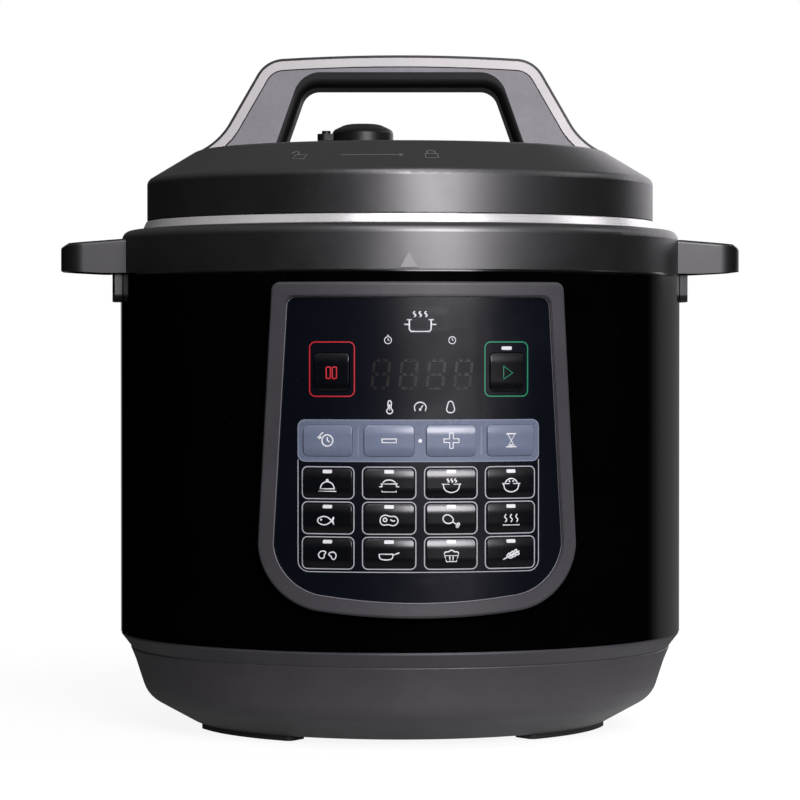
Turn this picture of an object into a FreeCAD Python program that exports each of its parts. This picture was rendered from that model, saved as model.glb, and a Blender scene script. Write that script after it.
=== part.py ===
import FreeCAD, Part
import math
import os

# Electric pressure cooker, in millimetres.
# +Z is up and the front, with the control panel, faces -Y.
# The origin is on the pot's axis, in the plane that the feet stand on.

# Clearances
slip = 0.3  # between pieces that move past each other
seat = 0.15  # between fixed pieces whose curved faces meet
running = 0.1  # round a shaft that turns in a bore
thread = 0.05  # round a screw in its hole
glue = 0.05  # between strips that are stuck together

# Heights of the body, from the floor up
foot_height = 2.4
base_height = 44.0
sleeve_height = 176.0
ring_height = 21.0
pot_floor_height = 18.0  # from the top of the base to the underside of the outer pot
band_rise = 5.0  # how far the bright band shows above the ring
skirt_lift = 0.5  # lid's skirt above the band
tooth_rise = 2.0  # top of the teeth above the band

# Walls and gaps of the body, from the pot's bore outwards
pot_radius = 109.0
pot_wall = 1.0
pot_gap = 4.3  # inner pot to outer pot
outer_pot_wall = 1.2
tooth_reach = 4.0
tooth_gap = 1.5  # teeth to the lid's rim
lid_wall = 1.3
skirt_gap = 0.9
cover_wall = 2.4
gutter_gap = 1.9  # lid's rim to the gutter's wall
band_wall = 1.0
band_gap = 0.7  # gutter's floor to the outer pot
band_flare = 2.7  # how far the band's foot stands out past the lid
ring_gap = 0.5  # band to the ring
ring_width = 9.2
ring_wall = 2.4
ring_round = 4.5
ledge_drop = 6.8  # ledge for the rim band, below the ring's top
ledge_gap = 3.5  # ledge to the outer pot
mark_half_width = 4.2
mark_height = 7.6
mark_lift = 0.6
mark_proud = 0.5
mark_turn = -2.0  # degrees from the front
sleeve_step = 0.8  # how far the sleeve stands out past the ring
sleeve_wall = 0.8
base_wall = 2.6

# Base housing, inwards from the sleeve
base_step = 0.4
base_lip = 1.2
crease_inset = 5.3
crease_drop = 7.5
ridge_proud = 0.5  # ridge round the crease
ridge_run = 6.0
knee_inset = 13.1
knee_rise = 12.6
knee_round = 14.0
toe_inset = 35.8
spigot_height = 6.0
bottom_opening = 72.0

# Feet
foot_width = 14.0
foot_inset = 0.5  # inside the base's lower edge
foot_span = 42.0  # degrees
foot_angle = 55.0  # degrees from the front and the back
peg_radius = 3.0
peg_angle = 12.0  # degrees to each side of a foot's middle

# Bottom cover and power board
cover_flange = 12.0
cover_thickness = 2.0
slot_width = 4.0
slot_length = 40.0
slot_pitch = 10.0
slot_count = 8
board_length = 112.0
board_width = 80.0
board_thickness = 1.6
standoff_radius = 4.0
standoff_height = 11.4
standoff_inset = 6.0

# Fasteners
screw_radius = 1.5
screw_head_radius = 3.2
screw_head_height = 1.8
lid_screw_radius = 1.9
lid_screw_head_radius = 4.0
lid_screw_head_height = 2.5
lid_screw_rise = 13.0  # above the edge of the lid's cone

# Pots and heater
tooth_count = 6
tooth_span = 26.0  # degrees
tab_span = 24.0  # degrees
tooth_thickness = 2.0
tab_gap = 1.0  # under a tooth when the lid is locked
rim_thickness = 1.2
rim_reach = 7.0
pot_floor = 2.5
pot_corner = 12.0
outer_pot_corner = 10.0
shoulder_reach = 6.5
plate_thickness = 7.7
plate_stand = 10.8  # heating plate above the outer pot's floor
plate_radius = 95.0
plate_boss_radius = 6.0
plate_boss_circle = 84.0
sensor_bore = 18.5
sensor_radius = 16.5
sensor_wall = 1.5
stem_radius = 3.5
stem_drop = 6.0
stem_gap = 2.0
spring_radius = 6.5
spring_wire = 0.7
spring_turns = 5
heater_circle = 62.0
heater_radius = 4.0
heater_sweep = 320.0  # degrees
terminal_radius = 2.5
terminal_drop = 16.0
terminal_gap = 2.0
switch_case_x = 42.0
switch_case_length = 24.0
switch_case_width = 16.0
switch_case_height = 13.0

# Power inlet
inlet_width = 29.0
inlet_height = 21.0
inlet_depth = 36.0
inlet_z = 29.4
inlet_setback = 4.0  # behind the widest edge of the base
socket_width = 24.4
socket_height = 16.4
socket_depth = 17.0
socket_corner = 4.0
pin_width = 2.0
pin_height = 4.0
pin_length = 36.0
pin_pitch = 7.0
pin_raise = 1.5

# Side handles
handle_reach = 29.6
handle_half_width = 26.0
handle_corner = 11.0
handle_root_height = 17.0  # top of the handle above the ring's lower edge, at the ring
handle_shoulder_height = 15.0  # the same where its tip begins
handle_tip_height = 12.6
handle_tip_run = 4.2
handle_edge = 1.6  # round of its upper edges
underside_rise = 0.4  # above the ring's lower edge, at the ring
tip_rise = 1.4  # the same at the tip
handle_sweep = 20.0  # underside that rises towards the tip
handle_wall = 3.0
handle_root_wall = 5.4
bracket_thickness = 3.7
bracket_span = 17.0  # degrees
bracket_drop = 13.5  # below the ring's lower edge
bracket_bite = 3.0  # how far the bracket runs up into the handle
bracket_corner = 3.5
handle_screw_angle = 6.0  # degrees to each side of the handle's middle
handle_screw_rise = 8.0  # above the ring's lower edge
handle_screw_bite = 5.0

# Control panel
panel_proud = 6.4
overlay_recess = 2.2
overlay_thickness = 1.0
panel_top_gap = 6.0
panel_height = 154.0
panel_half_top = 67.3
panel_half_low = 73.7
panel_shoulder = 33.0  # the widest place above the panel's bottom
panel_sweep = 27.7  # width of each lower corner
panel_sag = 3.0  # how far the bottom edge bows down
panel_corner = 4.0
frame_band = 6.6
frame_edge = 1.4
rim_step = 0.6
frame_ledge = 2.4  # how far the sleeve's window stays inside the band
key_half_width = 11.5
key_height = 13.2
column_gap = 5.6
row_gap = 2.85
key_corner = 2.2
key_proud = 1.1  # crown of a key above the overlay
key_brim = 0.1  # its upper and lower edges above the overlay
key_bow = 4.5  # height over which the crown falls to an edge
key_thickness = 2.4
key_travel = 0.6
key_edge = 0.4
key_gap = 0.25
post_radius = 1.6
first_row_drop = 92.0  # from the panel's top to the first row of the grid
strip_drop = 72.7
strip_key_height = 14.4
main_key_drop = 41.4
main_key_half_width = 8.2
main_key_height = 17.6
main_key_angle = 16.3  # degrees
display_drop = 42.0
display_width = 50.0
display_height = 19.0
display_depth = 12.6
circuit_depth = 18.5  # from the frame's front to the board
circuit_half_width = 51.0
circuit_height = 122.0
circuit_drop = 17.0
circuit_boss_inset = 4.5
circuit_boss_radius = 3.0
switch_side = 6.0
switch_height = 3.5
plunger_radius = 1.7
plunger_height = 1.8

# Lid
lid_rest_turn = -3.7  # degrees from the base's own directions, lid seated and unlocked
skirt_rise = 19.7
cone_rise = 14.8
cone_run = 24.5
crown_rise = 3.6
seal_height = 12.6
seal_gap = 0.5
seal_width = 12.4
seal_lip = 4.6
seal_inset = 2.6  # from the lid's rim
tab_thickness = 2.0
tab_reach = 2.1  # how far a tab passes under a tooth
dome_rise = 8.4
dome_inset = 5.0
rack_wall = 1.2
rack_height = 3.0
rack_gap = 0.6  # band to the seal
rack_lift = 2.5  # band above the seal's lower edge

# Lid handle
arch_top_rise = 46.8  # above the edge of the lid's cone
arch_bow = 950.0  # radius of its gently bowed top
arch_foot_half = 84.9
arch_foot_rise = 12.0
arch_lean = 30.0  # degrees from upright
arch_corner = 15.5
arch_flare = 14.5
arch_half_depth = 19.0
grip_top_rise = 38.4
grip_side = 4.5
hole_top_rise = 31.0
hole_half = 55.5
hole_foot_rise = 5.6
hole_lean = 19.5  # degrees from upright
hole_corner = 9.0
cap_thickness = 1.3
trim_thickness = 4.2
trim_proud = 0.4
cap_recess = 0.6
grip_round = 4.2
lid_screw_x = 71.0
lid_screw_y = 10.0
lid_boss_radius = 4.5

# Valves
pipe_x = -19.0
float_x = 18.0
valve_y = 45.0
pipe_radius = 4.5
pipe_bore = 2.2
pipe_top_rise = 12.0  # above the edge of the lid's cone
nut_radius = 9.0
nut_height = 2.9
pipe_drop = 6.0  # lower end of the pipe, under the nut
knob_radius = 15.6
knob_gap = 4.6  # underside of the knob above the edge of the lid's cone
knob_height = 12.6
lever_length = 23.2
lever_half_width = 4.5
lever_lift = 4.0
lever_thickness = 3.4
thumb_height = 1.6
float_radius = 3.0
float_head_radius = 6.0
float_head_height = 1.6
float_seal_height = 1.6
float_top_rise = 2.4  # above the edge of the lid's cone
float_travel = 5.0
shield_radius = 12.0
shield_height = 12.2
shield_wall = 1.2

# Condensation cup
cup_half_width = 24.0
cup_depth = 21.6
cup_height = 49.0
cup_wall = 1.6
cup_corner = 6.0
cup_drop = 5.0
cup_plate = 2.2
cup_plate_half = 20.0
cup_plate_height = 22.0
cup_plate_rise = 1.0  # above the cup's top
hook_x = 12.0
hook_drop = 9.0  # below the cup's top
hook_width = 10.0
hook_height = 3.0
hook_length = 5.1

# Heights that follow
base_top_z = foot_height + base_height
ring_bottom_z = base_top_z + sleeve_height
ring_top_z = ring_bottom_z + ring_height
ledge_top_z = ring_top_z - ledge_drop
band_top_z = ring_top_z + band_rise
skirt_bottom_z = band_top_z + skirt_lift
tooth_top_z = band_top_z + tooth_rise
tooth_bottom_z = tooth_top_z - tooth_thickness
tab_top_z = tooth_bottom_z - tab_gap
tab_bottom_z = tab_top_z - tab_thickness
rim_bottom_z = tooth_top_z + slip
rim_top_z = rim_bottom_z + rim_thickness
seal_bottom_z = rim_top_z + seal_gap
seal_top_z = seal_bottom_z + seal_height
lid_seat_z = seal_top_z + seal_gap
lid_seat_top_z = lid_seat_z + lid_wall
skirt_top_z = skirt_bottom_z + skirt_rise
cone_top_z = skirt_top_z + cone_rise
crown_top_z = cone_top_z + crown_rise
outer_floor_z = base_top_z + pot_floor_height
outer_floor_top_z = outer_floor_z + outer_pot_wall
plate_bottom_z = outer_floor_top_z + plate_stand
plate_top_z = plate_bottom_z + plate_thickness
pot_bottom_z = plate_top_z + slip

# Radii that follow
pot_outer = pot_radius + pot_wall
outer_pot_bore = pot_outer + pot_gap
outer_pot_radius = outer_pot_bore + outer_pot_wall
tooth_radius = outer_pot_radius + tooth_reach
lid_rim_bore = tooth_radius + tooth_gap
lid_rim_radius = lid_rim_bore + lid_wall
skirt_bore = lid_rim_radius + skirt_gap
lid_radius = skirt_bore + cover_wall
gutter_radius = lid_rim_radius + gutter_gap
band_radius = lid_radius + band_flare
ring_bore = band_radius + ring_gap
ring_radius = ring_bore + ring_width
sleeve_radius = ring_radius + sleeve_step
sleeve_bore = sleeve_radius - sleeve_wall
spigot_radius = sleeve_bore - slip
base_radius = sleeve_radius - base_step
crease_radius = sleeve_radius - crease_inset
knee_radius = sleeve_radius - knee_inset
toe_radius = sleeve_radius - toe_inset
foot_radius = toe_radius - foot_inset
panel_radius = sleeve_radius + panel_proud
overlay_radius = panel_radius - overlay_recess
carrier_radius = overlay_radius - overlay_thickness
frame_back = sleeve_radius + seat
key_radius = overlay_radius + key_proud
key_back = key_radius - key_thickness
key_pitch = math.degrees((2 * key_half_width + column_gap) / key_radius)
key_row_pitch = key_height + row_gap
circuit_y = -(panel_radius - circuit_depth)
plunger_y = circuit_y - switch_height - plunger_height
panel_top_z = ring_bottom_z - panel_top_gap

V = FreeCAD.Vector
ORIGIN = V(0, 0, 0)
UP = V(0, 0, 1)


def point(at):
    return V(at[0], 0, at[1])


def end_of(step):
    """Where a step of an outline ends."""
    return point(step[1] if isinstance(step[0], tuple) else step)


def soften(steps):
    """Replaces each corner (x, z, radius) between straight lines by an arc."""
    plain = []
    for i, step in enumerate(steps):
        if len(step) < 3 or step[2] == 0:
            plain.append(step)
            continue
        at = point(step)
        back = (end_of(steps[i - 1]) - at).normalize()
        ahead = (end_of(steps[(i + 1) % len(steps)]) - at).normalize()
        half = back.getAngle(ahead) / 2
        start = at + back * (step[2] / math.tan(half))
        end = at + ahead * (step[2] / math.tan(half))
        via = at + (back + ahead).normalize() * (step[2] / math.sin(half) - step[2])
        plain.append((start.x, start.z))
        plain.append(((via.x, via.z), (end.x, end.z)))
    return plain


def shifted(line, distance):
    """Open line of corners (x, z, radius) moved to its left by distance, or to its right if negative."""
    spots = [point(step) for step in line]
    ways = [(b - a).normalize() for a, b in zip(spots, spots[1:])]
    lefts = [V(-way.z, 0, way.x) for way in ways]
    moved = []
    for i, step in enumerate(line):
        before = lefts[max(i - 1, 0)]
        after = lefts[min(i, len(lefts) - 1)]
        at = spots[i] + (before + after) * (distance / (1 + before.dot(after)))
        bends_left = (before.x * after.z - before.z * after.x) > 0
        radius = step[2] if len(step) > 2 else 0
        if radius:
            radius = max(radius - distance if bends_left else radius + distance, 0)
        moved.append((at.x, at.z, radius))
    return moved


def sheet(line, wall):
    """Closed outline of a wall with the given line as its right-hand face."""
    return line + shifted(line, wall)[::-1]


def wire(steps):
    """Closed outline in the XZ plane.

    A step is a point (x, z), a rounded corner (x, z, radius), or a pair (via, end) for an arc.
    """
    steps = soften(steps)
    here = point(steps[0])
    edges = []
    for step in steps[1:] + [steps[0]]:
        is_arc = isinstance(step[0], tuple)
        end = end_of(step)
        if is_arc:
            edges.append(Part.Arc(here, point(step[0]), end).toShape())
        elif end.distanceToPoint(here) > 1e-6:
            edges.append(Part.LineSegment(here, end).toShape())
        here = end
    return Part.Wire(edges)


def lathe(steps):
    """Solid turned about Z from an outline of (radius, height) steps."""
    return Part.Face(wire(steps)).revolve(ORIGIN, UP, 360)


def prism(steps, y_from, y_to):
    """Outline in the XZ plane pushed along Y."""
    face = Part.Face(wire(steps))
    face.translate(V(0, y_from, 0))
    return face.extrude(V(0, y_to - y_from, 0))


def block(x0, x1, y0, y1, z0, z1):
    return Part.makeBox(x1 - x0, y1 - y0, z1 - z0, V(x0, y0, z0))


def rod(radius, z0, z1, x=0, y=0):
    return Part.makeCylinder(radius, z1 - z0, V(x, y, z0))


def rod_y(radius, y0, y1, x, z):
    return Part.makeCylinder(radius, y1 - y0, V(x, y0, z), V(0, 1, 0))


def hoop(bore, radius, z0, z1):
    return rod(radius, z0, z1).cut(rod(bore, z0, z1))


def turn(shape, angle):
    """Copy of a shape turned about the Z axis."""
    moved = shape.copy()
    moved.rotate(ORIGIN, UP, angle)
    return moved


def sector(bore, radius, z0, z1, middle, span):
    """Part of a hoop, span degrees wide, round the given direction."""
    slice_ = Part.makeCylinder(radius, z1 - z0, V(0, 0, z0), UP, span)
    return turn(slice_.cut(rod(bore, z0, z1)), middle - span / 2)


def join(first, *others):
    return first.fuse(list(others)).removeSplitter()


def carve(shape, *tools):
    return shape.cut(list(tools))


def polar(radius, angle):
    return radius * math.cos(math.radians(angle)), radius * math.sin(math.radians(angle))


def mirrored(right_side):
    """Outline symmetric in x from the steps of its right side, listed from the top down."""
    ends = [step[1] if isinstance(step[0], tuple) else step for step in right_side]
    left_side = [(-ends[-1][0], ends[-1][1])]
    for i in range(len(right_side) - 1, 0, -1):
        end = (-ends[i - 1][0], ends[i - 1][1])
        via = right_side[i][0]
        left_side.append(((-via[0], via[1]), end) if isinstance(via, tuple) else end)
    return left_side + right_side


def rounded_box(x, z, half_width, height, corner):
    """Rounded rectangle round (x, z) in the XZ plane."""
    w = half_width
    h = height / 2
    return [(x + i * w, z + j * h, corner) for i, j in ((-1, -1), (1, -1), (1, 1), (-1, 1))]


def round_edges(shape, radius, wanted):
    return shape.makeFillet(radius, [edge for edge in shape.Edges if wanted(edge)])


def is_upright(edge):
    if not isinstance(edge.Curve, Part.Line):
        return False
    return abs(edge.Curve.Direction.z) > 0.999


def on_radius(radius):
    """Test for edges whose ends are the given distance from the Z axis."""
    return lambda edge: all(abs(math.hypot(v.X, v.Y) - radius) < 1e-4 for v in edge.Vertexes)


def save(name, *shapes):
    shape = shapes[0] if len(shapes) == 1 else Part.makeCompound(list(shapes))
    shape.exportStep("parts/" + name + ".step")


# Base housing, bottom cover and feet
def feet_directions():
    return {
        "front_left": -90 - foot_angle,
        "front_right": -90 + foot_angle,
        "rear_left": 90 + foot_angle,
        "rear_right": 90 - foot_angle,
    }


def peg_places(direction):
    circle = foot_radius - foot_width / 2
    return [polar(circle, direction + side * peg_angle) for side in (-1, 1)]


def cover_screw_places():
    return [polar(bottom_opening + cover_flange / 2, quarter * 90) for quarter in range(4)]


def base_housing():
    z0 = foot_height
    taper = (crease_radius - knee_radius) / (base_top_z - crease_drop - z0 - knee_rise)
    shell = lathe(sheet([
        (bottom_opening, z0),
        (toe_radius, z0, 3),
        (knee_radius, z0 + knee_rise, knee_round),
        (crease_radius, base_top_z - crease_drop),
        (base_radius, base_top_z - base_lip),
        (base_radius, base_top_z),
    ], base_wall))
    spigot = hoop(spigot_radius - base_wall, spigot_radius, base_top_z - base_lip, base_top_z + spigot_height)
    ridge_z = base_top_z - crease_drop
    ridge = lathe([
        (crease_radius - ridge_run / 4, ridge_z),
        (crease_radius + ridge_proud, ridge_z - 0.1, 0.4),
        (crease_radius - ridge_run * taper, ridge_z - ridge_run),
        (crease_radius - ridge_run / 4 - ridge_run * taper, ridge_z - ridge_run),
    ])
    tools = [inlet_block(slip)]
    floor = z0 + base_wall
    for direction in feet_directions().values():
        tools += [rod(peg_radius + running, 0, floor, x, y) for x, y in peg_places(direction)]
    tools += [rod(screw_radius + slip, 0, floor, x, y) for x, y in cover_screw_places()]
    return carve(join(shell, spigot, ridge), *tools)


def standoff_places():
    x = board_length / 2 - standoff_inset
    y = board_width / 2 - standoff_inset
    return [(x * i, y * j) for i in (-1, 1) for j in (-1, 1)]


def cover_top_z():
    return foot_height + base_wall + cover_thickness


def bottom_cover():
    z0 = foot_height
    z1 = z0 + base_wall
    z2 = cover_top_z()
    disc = lathe([
        (0, z0),
        (bottom_opening - slip, z0),
        (bottom_opening - slip, z1),
        (bottom_opening + cover_flange, z1),
        (bottom_opening + cover_flange, z2),
        (0, z2),
    ])
    standoffs = [rod(standoff_radius, z2 - 1, z2 + standoff_height, x, y) for x, y in standoff_places()]
    tools = [rod(screw_radius + thread, 0, z2, x, y) for x, y in cover_screw_places()]
    for i in range(slot_count):
        x = (i - (slot_count - 1) / 2) * slot_pitch
        tools.append(block(x - slot_width / 2, x + slot_width / 2, -slot_length / 2, slot_length / 2, 0, z2))
    return carve(join(disc, *standoffs), *tools)


def foot(direction):
    pad = sector(foot_radius - foot_width, foot_radius, 0, foot_height, direction, foot_span)
    pad = round_edges(pad, 3, is_upright)
    pegs = [rod(peg_radius, foot_height - 1, foot_height + base_wall, x, y) for x, y in peg_places(direction)]
    return join(pad, *pegs)


def cover_screw(x, y):
    z0 = foot_height
    shank = rod(screw_radius, z0 - 1, cover_top_z(), x, y)
    return join(rod(screw_head_radius, z0 - screw_head_height, z0, x, y), shank)


# Power board and inlet
def power_board():
    z0 = cover_top_z() + standoff_height
    z1 = z0 + board_thickness
    half = board_length / 2
    side = board_width / 2
    board = block(-half, half, -side, side, z0, z1)
    transformer = block(-44, -14, -26, 2, z1, z1 + 22)
    relay = block(2, 22, -30, -14, z1, z1 + 16)
    heat_sink = block(30, 34, -30, 24, z1, z1 + 24)
    capacitors = [rod(6, z1, z1 + 20, x, 20) for x in (-30, -14)]
    fuse = block(0, 22, 18, 24, z1, z1 + 7)
    return [board, transformer, relay, heat_sink, fuse] + capacitors


def inlet_front():
    return base_radius - inlet_setback


def inlet_block(margin):
    y1 = inlet_front()
    w = inlet_width / 2 + margin
    h = inlet_height / 2 + margin
    return block(-w, w, y1 - inlet_depth, y1, inlet_z - h, inlet_z + h)


def pin_places():
    return [(-pin_pitch, inlet_z - pin_raise), (0, inlet_z + pin_raise), (pin_pitch, inlet_z - pin_raise)]


def pin_blade(x, z, margin):
    y0 = inlet_front() - inlet_depth - 4
    w = pin_width / 2 + margin
    h = pin_height / 2 + margin
    return block(x - w, x + w, y0, y0 + pin_length, z - h, z + h)


def power_inlet():
    y1 = inlet_front()
    w = socket_width / 2
    h = socket_height / 2
    socket = prism([
        (-w, inlet_z - h),
        (w, inlet_z - h),
        (w, inlet_z + h - socket_corner),
        (w - socket_corner, inlet_z + h),
        (-w + socket_corner, inlet_z + h),
        (-w, inlet_z + h - socket_corner),
    ], y1 - socket_depth, y1)
    return carve(inlet_block(0), socket, *[pin_blade(x, z, thread) for x, z in pin_places()])


# Sleeve, top ring and side handles
def panel_outline(inset):
    """Edge of the control panel seen from the front, moved inwards by inset."""
    top = panel_top_z - inset
    bottom = panel_top_z - panel_height + inset
    wide_z = panel_top_z - panel_height + panel_shoulder
    half_top = panel_half_top - inset
    half_low = panel_half_low - inset
    foot_half = panel_half_low - panel_sweep - inset / 2
    low_corner = (half_low - 7.6 + inset / 4, bottom + 14 - inset / 4)
    foot_z = bottom + panel_sag
    return [
        (-half_top, top, panel_corner),
        (half_top, top, panel_corner),
        (half_low, wide_z),
        (low_corner, (foot_half, foot_z)),
        ((0, bottom), (-foot_half, foot_z)),
        ((-low_corner[0], low_corner[1]), (-half_low, wide_z)),
    ]


def front_plate(steps, bore, radius):
    """Curved plate at the front: an outline seen from the front, between two radii."""
    return prism(steps, -radius - 5, -bore / 2).common(hoop(bore, radius, 0, crown_top_z))


def sleeve():
    wall = hoop(sleeve_bore, sleeve_radius, base_top_z, ring_bottom_z)
    window = prism(panel_outline(frame_band + frame_ledge), -sleeve_radius - 5, -sleeve_radius / 2)
    return wall.cut(window)


def ring_mark():
    """Small raised triangle on the front of the ring."""
    z0 = ring_bottom_z + mark_lift
    outline = [(-mark_half_width, z0), (mark_half_width, z0), (0, z0 + mark_height)]
    mark = prism(outline, -ring_radius - 5, -ring_radius / 2)
    raised = mark.common(hoop(ring_radius - 1, ring_radius + mark_proud, 0, ring_top_z))
    return turn(raised, mark_turn)


def handle_screw_z():
    return ring_bottom_z + handle_screw_rise


def handle_directions():
    """Directions of the screws that hold both side handles."""
    return [side + offset for side in (0, 180) for offset in (-handle_screw_angle, handle_screw_angle)]


def radial_rod(radius, start, length, z):
    """Rod along +X from the given distance to the axis."""
    return Part.makeCylinder(radius, length, V(start, 0, z), V(1, 0, 0))


def handle_holes(radius):
    """Radial holes for the screws of both side handles."""
    depth = ring_wall + handle_screw_bite
    hole = radial_rod(radius, ring_radius - 2 * ring_wall, depth + 2 * ring_wall, handle_screw_z())
    return [turn(hole, direction) for direction in handle_directions()]


def top_ring():
    z0 = ring_bottom_z
    z1 = ring_top_z
    w = ring_wall
    lip = ring_bore + w
    ledge = outer_pot_radius + ledge_gap
    shell = lathe([
        (ring_radius, z0),
        (ring_radius, z1, ring_round),
        (ring_bore, z1 + 1),
        (ring_bore, ledge_top_z),
        (ledge, ledge_top_z),
        (ledge, ledge_top_z - w),
        (lip, ledge_top_z - w),
        (lip, z1 + 1 - w),
        (ring_radius - w, z1 - w, ring_round - w),
        (ring_radius - w, z0 - spigot_height),
        (spigot_radius, z0 - spigot_height),
        (spigot_radius, z0),
    ])
    return carve(join(shell, ring_mark()), *handle_holes(screw_radius + slip))


def handle_plan(inset):
    """Side handle seen from above, as an upright prism."""
    x1 = ring_radius + handle_reach - inset
    y = handle_half_width - inset
    box = block(ring_radius / 2, x1, -y, y, base_top_z, crown_top_z)
    corner = handle_corner - inset
    return round_edges(box, corner, lambda edge: is_upright(edge) and edge.BoundBox.XMin > x1 - 1)


def bracket():
    """Small curved plate under a side handle that hugs the sleeve."""
    bore = sleeve_radius + slip
    low = ring_bottom_z - bracket_drop
    plate = sector(bore, bore + bracket_thickness, low, ring_bottom_z + bracket_bite, 0, bracket_span)
    return round_edges(plate, bracket_corner,
                       lambda edge: edge.BoundBox.ZMax < low + 0.01 and edge.Length < 2 * bracket_thickness)


def is_handle_top(edge):
    """Test for the edges between a side handle's top and its upright sides."""
    middle = edge.valueAt((edge.FirstParameter + edge.LastParameter) / 2)
    tip = ring_radius + handle_reach
    at_side = abs(middle.y) > handle_half_width - handle_corner + 0.1 or middle.x > tip - 0.01
    is_high = edge.BoundBox.ZMin > ring_bottom_z + handle_tip_height - 0.01
    return at_side and is_high and middle.x > ring_radius / 2 + 1


def side_handle():
    """Handle on the +X side, hollow underneath, with its bracket."""
    z0 = ring_bottom_z
    root = ring_radius / 2
    tip = ring_radius + handle_reach
    profile = prism([
        (root, z0 + underside_rise),
        (tip - handle_sweep, z0 + underside_rise),
        (tip, z0 + tip_rise),
        (tip, z0 + handle_tip_height),
        (tip - handle_tip_run, z0 + handle_shoulder_height),
        (ring_radius, z0 + handle_root_height),
        (root, z0 + handle_root_height),
    ], -handle_half_width, handle_half_width)
    body = round_edges(profile.common(handle_plan(0)), handle_edge, is_handle_top)
    body = body.cut(rod(ring_radius + seat, 0, crown_top_z))
    ceiling = z0 + handle_tip_height - handle_wall
    recess = handle_plan(handle_wall).cut(block(0, ring_radius + handle_root_wall, -200, 200, 0, crown_top_z))
    recess = recess.common(rod(2 * tip, 0, ceiling))
    body = body.cut(recess)
    return carve(join(body, bracket()), *handle_holes(screw_radius + thread))


def handle_screw(direction):
    face = ring_radius - ring_wall - seat
    z = handle_screw_z()
    shank = radial_rod(screw_radius, face - 0.5, ring_wall + handle_screw_bite, z)
    head = radial_rod(screw_head_radius, face - screw_head_height, screw_head_height, z)
    head = head.cut(hoop(face, ring_radius, 0, crown_top_z))
    return turn(join(head, shank), direction)


def rim_band():
    """Bright band that leans in towards the lid, with the gutter that catches drops behind it."""
    floor = ledge_top_z
    top = band_top_z
    w = band_wall
    inner = outer_pot_radius + band_gap
    return lathe([
        (inner, floor),
        (gutter_radius + w, floor),
        (gutter_radius + w, top - 1.6),
        (band_radius - w, ring_top_z - 0.6),
        (band_radius, ring_top_z),
        (lid_radius + 0.4, top, 0.8),
        (gutter_radius, top, 0.4),
        (gutter_radius, floor + w),
        (inner, floor + w),
    ])


# Pots, heater and sensor
def outer_pot():
    """Fixed pot with a shoulder that hangs on the rim band and bayonet teeth round its top."""
    z0 = outer_floor_z
    wall = outer_pot_wall
    shell = lathe(sheet([
        (stem_radius + stem_gap, z0),
        (outer_pot_radius, z0, outer_pot_corner),
        (outer_pot_radius, tooth_top_z),
    ], wall))
    root = outer_pot_radius - wall / 2
    shoulder_z = ledge_top_z + band_wall
    shoulder = hoop(root, outer_pot_radius + shoulder_reach, shoulder_z, shoulder_z + wall)
    pitch = 360 / tooth_count
    teeth = [sector(root, tooth_radius, tooth_bottom_z, tooth_top_z, i * pitch, tooth_span)
             for i in range(tooth_count)]
    holes = [rod(terminal_radius + terminal_gap, z0 - 1, z0 + wall + 1, x, y) for x, y in terminal_places()]
    return carve(join(shell, shoulder, *teeth), *holes)


def inner_pot():
    z0 = pot_bottom_z
    z1 = z0 + pot_floor
    rim_radius = pot_outer + rim_reach
    return lathe([
        (0, z0),
        (pot_outer, z0, pot_corner),
        (pot_outer, rim_bottom_z),
        (rim_radius, rim_bottom_z, 0.5),
        (rim_radius, rim_top_z, 0.5),
        (pot_radius, rim_top_z, 0.5),
        (pot_radius, z1, pot_corner - pot_wall),
        (0, z1),
    ])


def terminal_places():
    gap = (360 - heater_sweep) / 2
    return [polar(heater_circle, 90 + side * gap) for side in (-1, 1)]


def heater_z():
    return plate_bottom_z - 1


def heater_tube():
    start = 90 + (360 - heater_sweep) / 2
    circle = Part.Wire(Part.makeCircle(heater_radius, V(heater_circle, 0, heater_z()), V(0, 1, 0)))
    coil = turn(Part.Face(circle).revolve(ORIGIN, UP, heater_sweep), start)
    top = heater_z()
    terminals = [rod(terminal_radius, top - terminal_drop, top, x, y) for x, y in terminal_places()]
    return join(coil, *terminals)


def heating_plate():
    z0 = plate_bottom_z
    z1 = plate_top_z
    disc = lathe([
        (sensor_bore, z0),
        (plate_radius, z0),
        (plate_radius, z1 - 3),
        (plate_radius - 3, z1),
        (sensor_bore, z1),
    ])
    bosses = [rod(plate_boss_radius, outer_floor_top_z, z0 + 1, *polar(plate_boss_circle, 30 + 120 * i))
              for i in range(3)]
    groove = Part.makeTorus(heater_circle, heater_radius + seat, V(0, 0, heater_z()))
    wells = [rod(terminal_radius + seat, z0 - 5, heater_z(), x, y) for x, y in terminal_places()]
    return carve(join(disc, *bosses), groove, *wells)


def sensor_cap():
    top = plate_top_z
    skirt = plate_bottom_z - 2
    return lathe([
        (0, outer_floor_z - stem_drop),
        (stem_radius, outer_floor_z - stem_drop),
        (stem_radius, top - sensor_wall),
        (sensor_radius - sensor_wall, top - sensor_wall),
        (sensor_radius - sensor_wall, skirt),
        (sensor_radius, skirt),
        (sensor_radius, top - 1),
        (sensor_radius - 1, top),
        (0, top),
    ])


def sensor_spring():
    z0 = outer_floor_top_z + spring_wire + glue
    z1 = plate_top_z - sensor_wall - spring_wire - slip
    pitch = (z1 - z0) / spring_turns
    print("least gap between the spring's turns", round(pitch - 2 * spring_wire, 3))
    path = Part.makeHelix(pitch, z1 - z0, spring_radius)
    section = Part.Wire(Part.makeCircle(spring_wire, V(spring_radius, 0, 0), V(0, 1, 0)))
    coil = Part.Wire(path.Edges).makePipeShell([section], True, True)
    coil.translate(V(0, 0, z0))
    return coil


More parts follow.
